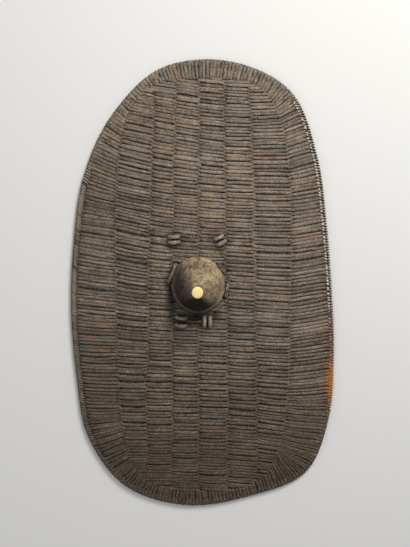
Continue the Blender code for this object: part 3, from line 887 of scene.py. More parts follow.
@dataclass(frozen=True)
class CarvedWoodFinish:
    """Carved and handled wood, worn tan where the hand reaches it, with a painted highlight where the light falls and
    painted shadow below the tip.
    """

    name: str
    centre: tuple[float, float] = (-0.011, 0.0255)
    dark: tuple[float, float, float] = (0.008, 0.006, 0.004)
    middle: tuple[float, float, float] = (0.078, 0.058, 0.045)
    light: tuple[float, float, float] = (0.210, 0.160, 0.115)
    worn_and_lit_tan: tuple[float, float, float] = (0.560, 0.420, 0.250)
    roughness: float = 0.60

    def make(self) -> bpy.types.Material:
        """Returns the material."""
        sheet = NodeSheet(self.name)
        place = sheet.place()
        turned = sheet.attribute("grain", vector=True)
        grain = sheet.noise(sheet.scaled(turned, (90.0, 900.0, 900.0)), 1.0, 3.0, 0.6)
        blotch = sheet.noise(place, 75.0, 4.0, 0.62)
        pit = sheet.noise(place, 330.0, 3.0, 0.6)
        tone = sheet.math("MULTIPLY_ADD", sheet.math("SUBTRACT", grain, 0.5), 0.7, 0.42)
        tone = sheet.math("MULTIPLY_ADD", sheet.math("SUBTRACT", blotch, 0.5), 0.6, tone)
        tone = sheet.math("ADD", tone, sheet.attribute("tone"))
        # painted shadow: the lower flank under the tip and the hidden underside
        tone = sheet.math("MULTIPLY_ADD", sheet.attribute("shade"), -0.75, tone)
        colour = sheet.ramp(tone, ((0.05, self.dark), (0.55, self.middle), (1.0, self.light)))
        # wear and painted highlight: the worn, lit places turn tan
        wear_and_painted_highlight = sheet.math("MULTIPLY", sheet.attribute("wear_and_painted_highlight"), sheet.between(pit, 0.36, 0.56, 0.45, 1.0))
        wear_and_painted_highlight = sheet.math("MULTIPLY", wear_and_painted_highlight, sheet.between(blotch, 0.34, 0.58, 0.40, 1.0))
        colour = sheet.mix(sheet.between(wear_and_painted_highlight, 0.0, 1.0), colour, self.worn_and_lit_tan)
        roughness = sheet.between(blotch, 0.2, 0.8, self.roughness - 0.12, self.roughness + 0.15)
        relief = sheet.math("MULTIPLY_ADD", pit, 0.7, grain)
        sheet.feed(sheet.shader.inputs["Specular IOR Level"], 0.2)
        return sheet.finish(colour, roughness, sheet.bump(relief, 0.0006, 0.8))


@dataclass(frozen=True)
class PaleTipFinish:
    """The pale plug, ivory-yellow with a darker, cracked edge."""

    name: str
    centre: tuple[float, float, float] = (-0.011, 0.0255, 0.0)
    pale: tuple[float, float, float] = (0.950, 0.760, 0.370)
    edge: tuple[float, float, float] = (0.760, 0.440, 0.130)
    roughness: float = 0.45

    def make(self) -> bpy.types.Material:
        """Returns the material."""
        sheet = NodeSheet(self.name)
        place = sheet.place()
        cloud = sheet.noise(place, 160.0, 4.0, 0.6)
        line = sheet.noise(sheet.scaled(place, (900.0, 160.0, 160.0)), 1.0, 2.0, 0.5)
        worn = sheet.math("MULTIPLY_ADD", sheet.math("SUBTRACT", cloud, 0.5), 0.9, sheet.attribute("shade"))
        worn = sheet.math("MULTIPLY_ADD", sheet.math("SUBTRACT", line, 0.5), 0.35, worn)
        colour = sheet.mix(sheet.between(worn, 0.15, 0.95), self.pale, self.edge)
        return sheet.finish(colour, sheet.between(cloud, 0.3, 0.7, 0.38, 0.55), sheet.bump(line, 0.0003, 0.5))


@dataclass(frozen=True)
class GripWoodFinish:
    """Plain carved wood behind the panel, dark with handling."""

    name: str
    dark: tuple[float, float, float] = (0.020, 0.013, 0.008)
    middle: tuple[float, float, float] = (0.085, 0.055, 0.034)
    light: tuple[float, float, float] = (0.19, 0.13, 0.082)

    def make(self) -> bpy.types.Material:
        """Returns the material."""
        sheet = NodeSheet(self.name)
        place = sheet.place()
        grain = sheet.noise(sheet.scaled(place, (520.0, 45.0, 520.0)), 1.0, 4.0, 0.6, 0.3)
        blotch = sheet.noise(place, 40.0, 4.0, 0.6)
        tone = sheet.math("MULTIPLY_ADD", sheet.math("SUBTRACT", blotch, 0.5), 0.8, grain)
        colour = sheet.ramp(tone, ((0.2, self.dark), (0.5, self.middle), (0.85, self.light)))
        return sheet.finish(colour, sheet.between(blotch, 0.3, 0.7, 0.42, 0.62), sheet.bump(grain, 0.0005, 0.7))


@dataclass(frozen=True)
class FloorFinish:
    """Plain pale floor."""

    name: str = "pale_floor"
    colour: tuple[float, float, float] = (0.80, 0.79, 0.77)

    def make(self) -> bpy.types.Material:
        """Returns the material."""
        sheet = NodeSheet(self.name)
        return sheet.finish(self.colour, 0.9)


@dataclass
class Drift:
    """Where the rows of strands lean, and where two of them part.

    Attributes:
        leans: Places across and along, with the rows' fall to the right there in degrees.
        partings: Places with the half length of a dark gap and how far it opens in millimetres.
        holes: Places where a leg of a tie or lashing goes through.
    """

    leans: tuple[tuple[float, float, float], ...] = (
        (-0.112, 0.308, 12), (-0.028, 0.423, 9), (0.025, 0.472, 6), (0.057, 0.434, 3), (-0.150, 0.246, 14),
        (-0.151, 0.162, 13), (-0.156, 0.077, 11), (-0.157, -0.009, 7), (-0.158, -0.119, 0), (-0.156, -0.233, -3),
        (-0.141, -0.329, -4), (-0.091, 0.204, 9), (-0.091, 0.121, 6), (-0.091, 0.015, 0), (-0.093, -0.184, 0),
        (-0.096, -0.327, -2), (-0.034, 0.308, 11), (-0.034, 0.205, 5), (-0.035, -0.183, 3), (-0.036, -0.325, 1),
        (0.025, 0.350, 7), (0.025, 0.205, 4), (0.025, -0.115, 3), (0.026, -0.326, 2), (0.082, 0.371, 0),
        (0.081, 0.246, 2), (0.082, 0.121, 4), (0.082, -0.007, 6), (0.083, -0.116, 3), (0.085, -0.230, 5),
        (0.086, -0.352, 6), (0.146, 0.392, -6), (0.145, 0.308, 0), (0.145, 0.204, 1), (0.146, 0.120, 3),
        (0.147, 0.013, 8), (0.148, -0.074, 6), (0.156, -0.186, 9), (0.158, -0.280, 13), (0.162, -0.381, 14),
        (-0.007, -0.429, 4),
    )
    partings: tuple[tuple[float, float, float, float], ...] = (
        (0.128, 0.381, 0.011, 2), (0.140, 0.351, 0.029, 2), (0.140, 0.320, 0.027, 2), (0.143, 0.310, 0.030, 3),
        (0.143, 0.299, 0.028, 3), (0.144, 0.248, 0.031, 2), (0.043, 0.249, 0.013, 3), (0.081, 0.238, 0.022, 2),
        (0.140, 0.214, 0.029, 3), (0.035, 0.432, 0.009, 2), (-0.034, 0.371, 0.012, 2), (-0.035, 0.324, 0.017, 3),
        (-0.134, 0.324, 0.019, 3), (-0.132, 0.303, 0.021, 2), (-0.138, 0.268, 0.031, 3), (-0.084, 0.270, 0.017, 3),
        (-0.147, 0.249, 0.027, 2), (-0.127, 0.183, 0.015, 3), (-0.163, 0.130, 0.023, 2), (-0.160, 0.112, 0.019, 2),
        (-0.158, 0.100, 0.017, 3), (-0.135, 0.083, 0.021, 2), (-0.131, 0.071, 0.016, 3), (-0.029, 0.152, 0.029, 1.6),
        (-0.025, 0.175, 0.018, 1.6), (-0.158, 0.022, 0.029, 1.6), (-0.098, 0.017, 0.025, 2), (-0.090, -0.001, 0.020, 1.6),
        (-0.157, -0.052, 0.027, 2), (0.141, 0.165, 0.034, 3), (0.141, 0.152, 0.034, 2), (0.144, 0.122, 0.032, 3),
        (0.141, 0.104, 0.034, 2), (0.140, 0.071, 0.032, 2), (0.149, 0.064, 0.022, 2), (0.066, 0.018, 0.008, 2),
        (0.077, -0.026, 0.021, 3), (0.072, -0.038, 0.017, 3), (0.151, -0.014, 0.023, 2), (0.162, -0.028, 0.023, 2),
        (0.154, -0.049, 0.032, 3), (0.146, -0.064, 0.018, 2), (-0.157, -0.154, 0.025, 3), (-0.098, -0.191, 0.028, 2),
        (-0.099, -0.210, 0.028, 2), (-0.040, -0.207, 0.024, 2), (-0.158, -0.289, 0.028, 3), (-0.007, -0.184, 0.011, 2),
        (0.026, -0.143, 0.021, 3), (0.091, -0.147, 0.023, 2), (0.159, -0.161, 0.034, 3), (0.151, -0.221, 0.030, 3),
        (0.084, -0.254, 0.032, 3), (0.156, -0.315, 0.028, 2), (0.154, -0.353, 0.025, 3), (-0.012, -0.355, 0.024, 1.6),
        (-0.095, -0.380, 0.023, 1.6), (0.091, -0.093, 0.021, 2), (0.028, -0.106, 0.017, 2), (0.090, -0.289, 0.022, 2),
        (-0.092, -0.105, 0.022, 1.6), (0.024, -0.323, 0.018, 1.6),
    )
    holes: tuple[tuple[float, float], ...] = ()
    lean_reach: float = 0.055
    parting_depth: float = 0.011

    def lean(self, x: Array, y: Array) -> Array:
        """Returns the rows' slope, upwards to the right."""
        total, weight = np.zeros_like(x), np.full_like(x, 1e-6)
        for mark_x, mark_y, degrees in self.leans:
            near = np.exp(-(((x - mark_x) / self.lean_reach) ** 2 + ((y - mark_y) / (1.4 * self.lean_reach)) ** 2))
            total += near * math.tan(math.radians(-degrees))
            weight += near
        return total / weight

    def parted(self, x: Array, y: Array) -> Array:
        """Returns how far a strand's places are pushed up or down by the gaps and holes near them."""
        push = np.zeros_like(x)
        for mark_x, mark_y, half, wide in self.partings:
            away = y - mark_y - self.lean(np.array([mark_x]), np.array([mark_y]))[0] * (x - mark_x)
            near = np.exp(-(((x - mark_x) / half) ** 4)) * np.exp(-np.abs(away) / self.parting_depth)
            push += np.where(away >= 0, 0.5, -0.5) * wide * MM * near
        for hole_x, hole_y in self.holes:
            away = y - hole_y
            near = np.exp(-(((x - hole_x) / 0.006) ** 2)) * np.exp(-np.abs(away) / 0.007)
            push += np.where(away >= 0, 1.0, -1.0) * 0.0030 * near
        return push


@dataclass
class WovenField:
    """Rows of cane strands woven in and out of the six upright slats.

    Attributes:
        panel: Form that they lie on.
        drift: Where they lean and part.
        patina: Where they are clogged with dirt.
        material: Their finish.
        step: Distance from one row to the next.
        front_lift: Height of a strand's middle on a crest in front.
        back_lift: The same behind.
        half_width: Half width on a crest; not used.
        half_height: Half thickness on a crest.
        cross_half: Half width where strands cross.
    """

    panel: Panel
    drift: Drift
    patina: Patina
    material: bpy.types.Material
    step: float = 0.00375
    front_lift: float = 0.0050
    back_lift: float = 0.0042
    half_width: float = 0.00345
    half_height: float = 0.0018
    cross_half: float = 0.0026
    shares: tuple[float, ...] = (0.0, 0.05, 0.15, 0.38, 0.62, 0.85, 0.95)
    seed: int = 5
    fill: SmoothNoise = SmoothNoise(61)

    def outer(self, y: Array) -> Array:
        """Returns half the field's width at height y."""
        inside = np.maximum(1 - np.abs(y / self.panel.half_length) ** self.panel.power, 0.0)
        return self.panel.half_width * inside ** (1 / self.panel.power)

    def row(self, number: int, level: float, room: float, rng: np.random.Generator) -> Strand | None:
        """Makes one row.

        Args:
            number: Its number, which says the columns where it lies in front.
            level: Its height up the shield at the middle.
            room: Width that it has to itself.
            rng: Source of the small differences.

        Returns:
            The strand, or None where no room is left for it.
        """
        across = np.linspace(-self.panel.half_width, self.panel.half_width, 380)
        slope = self.drift.lean(across, np.full_like(across, level))
        fall = np.concatenate([[0.0], np.cumsum((slope[1:] + slope[:-1]) / 2 * np.diff(across))])
        fall -= np.interp(0.0, across, fall)
        height = level + fall
        inside = np.abs(across) < self.outer(height)
        if inside.sum() < 50:
            return None
        left, right = across[inside][0] - 0.0012, across[inside][-1] + 0.0012
        walls = [left]
        columns = []
        for k in range(len(self.panel.edges) + 1):
            wall = right
            if k < len(self.panel.edges):
                guess = self.panel.edges[k]
                for _ in range(3):
                    guess = float(self.panel.column_edge(k, np.interp(guess, across, height)))
                wall = guess
            if wall < right:
                wall += 0.0015 * float(rng.normal()) + 0.0035 * float(self.fill.at(level / 0.035, 7.3 * k))
            if wall - walls[-1] < 0.018 and k < len(self.panel.edges):
                continue
            if wall > right - 0.018:
                wall = right
            walls.append(wall)
            columns.append(k)
            if wall >= right:
                break
        count, steps = len(columns), len(self.shares)
        shares = np.array(self.shares)
        low, high = np.array(walls[:-1])[:, None], np.array(walls[1:])[:, None]
        x = np.append((low + shares * (high - low)).ravel(), walls[-1])
        u = np.append(np.tile(shares, count), 1.0)
        column = np.append(np.repeat(np.arange(count), steps), count - 1)
        side = np.where((number + np.array(columns)[column]) % 2 == 0, 1, -1)
        arch = 1 - np.abs(2 * u - 1) ** 4.5
        ends = ((column == 0) & (u < 0.5)) | ((column == count - 1) & (u > 0.5))
        arch = np.where(ends, np.maximum(arch, 0.55), arch)
        wall_off, crest_off, loose = (rng.normal(size=count + 1) for _ in range(3))
        wander = 0.00045 * (wall_off[column] * (1 - u) + wall_off[column + 1] * u) + 0.0006 * crest_off[column] * arch
        y = np.interp(x, across, height) + wander
        y = y + self.drift.parted(x, y) * np.where(side > 0, 1.0, 0.4)
        lift = np.where(side > 0, self.front_lift, -self.back_lift) * arch
        lift = lift + np.where(side > 0, 0.00042 * loose[column] + 0.0002 * rng.normal(size=len(x)), 0.0) * arch
        full = room * (0.435 + 0.055 * self.patina.clog(x, y))
        full = full * (1 + 0.05 * rng.normal() + 0.10 * self.fill.layered(x / 0.035, y / 0.014, 2))
        half_width = self.cross_half + (full - self.cross_half) * arch**0.8
        half_height = self.cross_half + (self.half_height - self.cross_half) * arch
        own = 0.06 * rng.normal() + 0.07 * rng.normal(size=count + 1)[column]
        tint = 0.5 * rng.normal() + 0.9 * rng.normal(size=count + 1)[column]
        # shade: painted shade where a strand dips into the weave at a crossing
        return Strand(
            path=self.panel.lifted(x, y, lift), up=self.panel.normal(x, y), half_width=half_width,
            half_height=half_height, tone=own + 0.05 * rng.normal(size=len(x)),
            twist=0.16 * rng.normal(size=len(x)), shade=(1 - arch) * 0.5, squareness=0.75, tint=tint,
        )

    def make(self) -> list[bpy.types.Object]:
        """Returns the woven field's pieces."""
        rng = np.random.default_rng(self.seed)
        soups = {True: Soup(), False: Soup()}
        count = int((2 * self.panel.half_length + 0.08) / self.step)
        levels = self.step * np.cumsum(np.clip(1 + 0.20 * rng.normal(size=count), 0.6, 1.5))
        levels *= (2 * self.panel.half_length + 0.08) / levels[-1]
        levels = self.panel.half_length + 0.04 - levels
        for number, level in enumerate(levels):
            room = (levels[max(number - 2, 0)] - levels[min(number + 2, count - 1)]) / 2
            strand = self.row(number, level, room, rng)
            if strand is not None:
                strand.into(soups[level > 0], 0.31 * number)
        pieces = []
        for name, soup in (("woven_rows_upper", soups[True]), ("woven_rows_lower", soups[False])):
            pieces.append(soup.build(name, self.material))
        return pieces


@dataclass
class Border:
    """Strands square to the edge, woven over and under a hoop, all the way round.

    Attributes:
        panel: Form that they lie on.
        edge: The shield's edge.
        material: Their finish.
        count: Number of strands, front and back together.
        covered: Two places each, between which the front strands run on over the roll, anticlockwise.
    """

    panel: Panel
    edge: EdgePath
    patina: Patina
    material: bpy.types.Material
    count: int = 644
    front_lift: float = 0.0050
    back_lift: float = 0.0042
    half_height: float = 0.0018
    covered: tuple[tuple[tuple[float, float], tuple[float, float]], ...] = (
        ((-0.235, -0.385), (0.287, -0.262)), ((0.200, 0.412), (-0.258, 0.262)),
    )
    left_end: float = 0.0140
    right_end: float = 0.0126
    partings: tuple[tuple[float, float, float, float], ...] = (
        (0.215, 0.249, 0.028, 3), (0.208, 0.271, 0.028, 2), (-0.223, 0.220, 0.028, 2), (-0.214, -0.035, 0.026, 2),
        (-0.250, -0.050, 0.020, 2), (0.215, 0.094, 0.034, 3), (0.214, 0.073, 0.038, 3), (0.215, -0.019, 0.021, 2),
        (-0.258, -0.217, 0.020, 2), (-0.224, -0.262, 0.019, 2), (-0.234, -0.197, 0.034, 2), (-0.234, -0.145, 0.039, 2),
        (0.239, -0.175, 0.038, 3), (0.239, -0.213, 0.040, 3), (0.239, -0.231, 0.040, 2), (0.222, -0.256, 0.030, 2),
        (0.217, -0.288, 0.024, 3), (-0.209, 0.305, 0.013, 1.6),
    )
    seed: int = 9

    def over_roll(self, share: Array) -> Array:
        """Returns 1 where the strands run on over the roll, and 0 elsewhere, with a short change between."""
        total = np.zeros_like(share)
        for start, end in self.covered:
            low, high = self.edge.share_at(*start), self.edge.share_at(*end)
            total += np.clip((share - low) / 0.006, 0, 1) * np.clip((high - share) / 0.006, 0, 1)
        return np.clip(total, 0.0, 1.0)

    def inner_reach(self, share: Array) -> Array:
        """Returns the distance along the inward normal from the panel's edge to the border line."""
        low, high = np.zeros_like(share), np.full_like(share, 0.16)
        for _ in range(30):
            middle = (low + high) / 2
            place, _ = self.edge.at(share, self.panel.rim_width + middle)
            outside = self.panel.border_share(place[:, 0], place[:, 1]) > 0
            low, high = np.where(outside, middle, low), np.where(outside, high, middle)
        return (low + high) / 2

    def make(self) -> list[bpy.types.Object]:
        """Returns the border's pieces, in front and behind."""
        rng = np.random.default_rng(self.seed)
        shares = np.arange(self.count) / self.count
        reaches = self.inner_reach(shares)
        soups = {Face.FRONT: Soup(), Face.BACK: Soup()}
        covered = self.over_roll(shares)
        for k, (share, reach) in enumerate(zip(shares, reaches)):
            face = Face.FRONT if k % 2 == 0 else Face.BACK
            strand = self.strand(face, share, reach, bool(covered[k] > 0.5), rng)
            strand.into(soups[face], 0.23 * k)
        return [
            soups[Face.FRONT].build("border_strands_front", self.material),
            soups[Face.BACK].build("border_strands_back", self.material),
        ]

    def strand(self, face: Face, share: float, reach: float, over: bool, rng: np.random.Generator) -> Strand:
        """Makes one strand, from the border line outwards.

        Args:
            face: Side that it lies on.
            share: Where it meets the edge.
            reach: Distance from the panel's edge to the border line there.
            over: Whether it runs on over the roll.
            rng: Source of the small differences.

        Returns:
            The strand.
        """
        u = np.array([-0.04, 0.04, 0.13, 0.28, 0.46, 0.64, 0.80, 0.92, 1.0])
        right = self.edge.at(np.array([share]), 0.0)[0][0, 0] > 0
        end = self.panel.rim_width if over else self.right_end if right else self.left_end
        inset = end + (1 - u) * (reach + self.panel.rim_width - end)
        pull = 0.0008 * rng.normal() * np.sin(math.pi * np.clip(u, 0, 1)) + 0.0006 * rng.normal() * u
        place, normal = self.edge.at(share + np.zeros_like(u), inset)
        along = np.stack([normal[:, 1], -normal[:, 0]], axis=1)
        place = place + along * pull[:, None]
        place = place + along * self.parted(place, along)[:, None]
        arch = np.clip(1 - np.abs(2 * np.clip(u, 0, 1) - 1) ** 4.0, 0.0, 1.0)
        room = min(reach / 0.045, 1.0)
        if face is Face.FRONT:
            arch = np.where(u < 0.5, np.maximum(arch, 0.45), arch)
            lift = arch * (self.front_lift * (0.5 + 0.5 * room) + 0.00045 * rng.normal())
            outer = np.interp(u, [0.6, 1.0], [0.0, 1.0])
            lift = np.maximum(lift, outer * (0.0046 if over or right else 0.0026))
        else:
            lift = -arch * self.back_lift * (0.5 + 0.5 * room)
        path = self.panel.lifted(place[:, 0], place[:, 1], lift)
        up = self.panel.normal(place[:, 0], place[:, 1])
        pitch = 2 * self.edge.around / self.count
        narrow = 1 - (1 - u) * reach * self.bend(share)
        clog = self.patina.clog(place[:, 0], place[:, 1])
        half_width = pitch * (0.435 + 0.055 * clog) * np.clip(narrow, 0.45, 1.1) * (1 + 0.10 * rng.normal())
        half_width = 0.0024 + (half_width - 0.0024) * np.clip(arch * 1.4, 0.3, 1.0)
        if face is Face.FRONT:
            half_width[-2:] = half_width[-3] * (1.0 if over else 0.92)
        half_height = np.full_like(u, self.half_height)
        if face is Face.FRONT and over:
            path, up, half_width, half_height = self.over_the_roll(share, path, up, half_width, half_height)
        size = len(path)
        # painted shade at the strand's inner end, where it goes under, and on the outer side of the roll
        shade = np.zeros(size)
        shade[:3] = (0.5, 0.3, 0.1)
        if face is Face.FRONT and over:
            shade[-3:] = (0.6, 1.4, 1.4)
        return Strand(
            path=path, up=up, half_width=half_width, half_height=half_height,
            tone=0.09 * rng.normal() + 0.05 * rng.normal(size=size),
            twist=0.14 * rng.normal(size=size), shade=shade, squareness=0.8, tint=rng.normal(),
        )

    def bend(self, share: float) -> float:
        """Returns the edge's curvature at a share of the way round."""
        _, normal = self.edge.at(np.array([share - 0.01, share + 0.01]), 0.0)
        turn = math.atan2(
            normal[0, 0] * normal[1, 1] - normal[0, 1] * normal[1, 0], float(normal[0] @ normal[1])
        )
        return turn / (0.02 * self.edge.around)

    def parted(self, place: Array, along: Array) -> Array:
        """Returns how far the gaps near a strand push it along the edge."""
        push = np.zeros(len(place))
        for mark_x, mark_y, half, wide in self.partings:
            offset = place - np.array([mark_x, mark_y])
            side = (offset * along).sum(axis=1)
            away = np.hypot(*offset.T)
            near = np.exp(-((away / (half + 0.006)) ** 4)) * np.exp(-np.abs(side) / 0.011)
            push += np.where(side >= 0, 0.5, -0.5) * wide * MM * near
        return push

    def over_the_roll(
        self, share: float, path: Array, up: Array, half_width: Array, half_height: Array
    ) -> tuple[Array, Array, Array, Array]:
        """Leads a strand on over the roll and down its outer side.

        Args:
            share: Where it meets the edge.
            path: Its path so far.
            up: The directions that its face looks in.
            half_width: Its half widths.
            half_height: Its half thicknesses.

        Returns:
            The four, with the places over the roll added.
        """
        turn = np.radians([112.0, 84.0, 56.0, 28.0, 2.0, -28.0])
        radius = self.panel.rim_width / 2 - 0.0012
        centre, normal = self.edge.at(np.full(len(turn), share), self.panel.rim_width / 2)
        flat = centre - normal * (np.cos(turn) * radius)[:, None]
        round_path = np.column_stack([flat, self.panel.rim_width / 2 + np.sin(turn) * radius])
        round_up = np.column_stack([-normal * np.cos(turn)[:, None], np.sin(turn)])
        thin = np.linspace(1.0, 0.7, len(turn))
        return (
            np.vstack([path, round_path]),
            np.vstack([up, round_up]),
            np.concatenate([half_width, np.full(len(turn), half_width[-1])]),
            np.concatenate([half_height, 0.0013 * thin]),
        )


@dataclass
class Slats:
    """The upright slats of the field and the hoop under the border, which the strands go in and out of."""

    panel: Panel
    edge: EdgePath
    border: Border
    material: bpy.types.Material
    half_thickness: float = 0.0024
    margin: float = 0.0045

    def make(self) -> bpy.types.Object:
        """Returns the slats and the hoop as one piece."""
        soup = Soup()
        walls = [-self.panel.half_width, *self.panel.edges, self.panel.half_width]
        for k, (low, high) in enumerate(zip(walls, walls[1:])):
            y = np.linspace(-self.panel.half_length, self.panel.half_length, 60)
            lean = 1 - self.panel.spread * y
            middle = (low + high) / 2 * lean
            x_outer = self.panel.half_width * np.maximum(
                1 - np.abs(y / self.panel.half_length) ** self.panel.power, 0.02
            ) ** (1 / self.panel.power)
            left = np.maximum(low * lean if k else -x_outer, -x_outer) + self.margin
            right = np.minimum(high * lean if k < len(walls) - 2 else x_outer, x_outer) - self.margin
            keep = right - left > 0.012
            middle = ((left + right) / 2)[keep]
            path = self.panel.lifted(middle, y[keep], np.zeros(keep.sum()))
            up = self.panel.normal(middle, y[keep])
            Strand(path, up, ((right - left) / 2)[keep], self.half_thickness, -0.15, 10).into(soup, 3.0 * k)
        share = np.linspace(0.0, 1.0, 181)
        reach = self.border.inner_reach(share)
        place, _ = self.edge.at(share, self.panel.rim_width + reach / 2 - 0.002)
        path = self.panel.lifted(place[:, 0], place[:, 1], np.zeros(len(share)))
        up = self.panel.normal(place[:, 0], place[:, 1])
        Strand(path, up, reach / 2 - self.margin / 2, self.half_thickness, -0.15, 10).into(soup, 40.0)
        return soup.build("slats_and_hoop", self.material)


@dataclass
class Rim:
    """The cane strip wound round the edge, and the row of stitches inside it.

    Attributes:
        panel: Form of the panel.
        border: The border, which says where its strands cover the roll.
        edge: The shield's edge.
        material: Finish of the strip.
        thread: Finish of the stitches.
        pitch: Distance from one turn to the next.
        steps: Places on each turn.
    """

    panel: Panel
    border: Border
    edge: EdgePath
    material: bpy.types.Material
    thread: bpy.types.Material
    pitch: float = 0.0058
    steps: int = 10
    core: float = 0.0044
    stitch_pitch: float = 0.0070
    seed: int = 21

    def inner_roll(self) -> bpy.types.Object:
        """Returns the dark bundle that the strip is wound round."""
        share = np.linspace(0.0, 1.0, 361)
        place, normal = self.edge.at(share, self.panel.rim_width / 2)
        path = np.column_stack([place, np.full(len(share), self.panel.rim_width / 2)])
        soup = Soup()
        up = np.tile([0.0, 0.0, 1.0], (len(share), 1))
        # painted shade: the core is kept fully shaded, as it shows only in the gaps between the turns
        Strand(path, up, self.core, self.core, -0.50, 10, shade=1.0).into(soup, 0.0)
        return soup.build("rim_core", self.material)

    def winding(self, rng: np.random.Generator) -> bpy.types.Object:
        """Returns the wound strip."""
        turns = round(self.edge.around / self.pitch)
        angle = np.linspace(0.0, 2 * math.pi * turns, turns * self.steps + 1)
        share = angle / (2 * math.pi * turns)
        noise = SmoothNoise(31)
        skew = 0.0030 + 0.0022 * noise.at(share * 60, 0.5)
        share = share + skew * np.sin(angle - math.pi / 2) / self.edge.around
        hidden = self.border.over_roll(np.mod(share, 1.0))
        radius = self.panel.rim_width / 2 - 0.0010 - 0.0015 * hidden
        radius = radius + 0.00035 * noise.at(share * 500, 3.5)
        centre, normal = self.edge.at(share, self.panel.rim_width / 2)
        out = np.cos(angle)[:, None] * -normal
        flat = centre + out * radius[:, None]
        height = self.panel.rim_width / 2 + np.sin(angle) * radius
        path = np.column_stack([flat, height])
        up = np.column_stack([out, np.sin(angle)])
        wide = self.pitch * (0.27 + 0.05 * noise.at(share * 480, 7.5))
        own = rng.normal(size=turns + 1)[(angle / (2 * math.pi) + 0.25).astype(int)]
        # painted shade: the outer side of the roll darker
        outer = np.clip(np.cos(angle) * 2.2 - 0.9, 0, 1)
        tone = np.where(flat[:, 0] > 0, 0.10, 0.42) + 0.24 * own - 0.85 * outer
        soup = Soup()
        Strand(path, up, wide, 0.0013, tone, 6, squareness=0.8).into(soup, 0.0)
        return soup.build("rim_winding", self.material)

    def stitches(self, rng: np.random.Generator) -> bpy.types.Object:
        """Returns the small stitches along the roll's inner side."""
        soup = Soup()
        count = round(self.edge.around / self.stitch_pitch)
        radius = self.panel.rim_width / 2 - 0.0002
        swell = np.array([0.30, 0.80, 1.0, 0.80, 0.30])
        for k in range(count):
            share = (k + 0.12 * rng.normal()) / count
            if self.border.over_roll(np.array([share % 1.0]))[0] > 0.3:
                continue
            centre, normal = self.edge.at(share + np.linspace(-0.0010, 0.0010, 5) / self.edge.around, self.panel.rim_width / 2)
            right = centre[2, 0] > 0
            size = 0.0023 + 0.0003 * rng.normal() if right else 0.0011
            turn = np.radians((112.0 if right else 140.0) + np.degrees(1.1 * size / radius) * np.linspace(-1, 1, 5))
            flat = centre - normal * (np.cos(turn) * radius)[:, None]
            path = np.column_stack([flat, self.panel.rim_width / 2 + np.sin(turn) * radius])
            up = np.column_stack([-normal * np.cos(turn)[:, None], np.sin(turn)])
            # painted highlight: right-hand stitches paler from the middle up, where they catch the light
            pale = min(max((centre[2, 1] + 0.05) / 0.05, 0.0), 1.0) if right else -0.6
            tone = 0.20 * rng.normal() + 0.55 * pale
            Strand(path, up, size * swell, 0.8 * size * swell, tone, 8).into(soup, 0.17 * k)
        return soup.build("rim_stitches", self.thread)

    def make(self) -> list[bpy.types.Object]:
        """Returns the rim's pieces."""
        rng = np.random.default_rng(self.seed)
        return [self.inner_roll(), self.winding(rng), self.stitches(rng)]


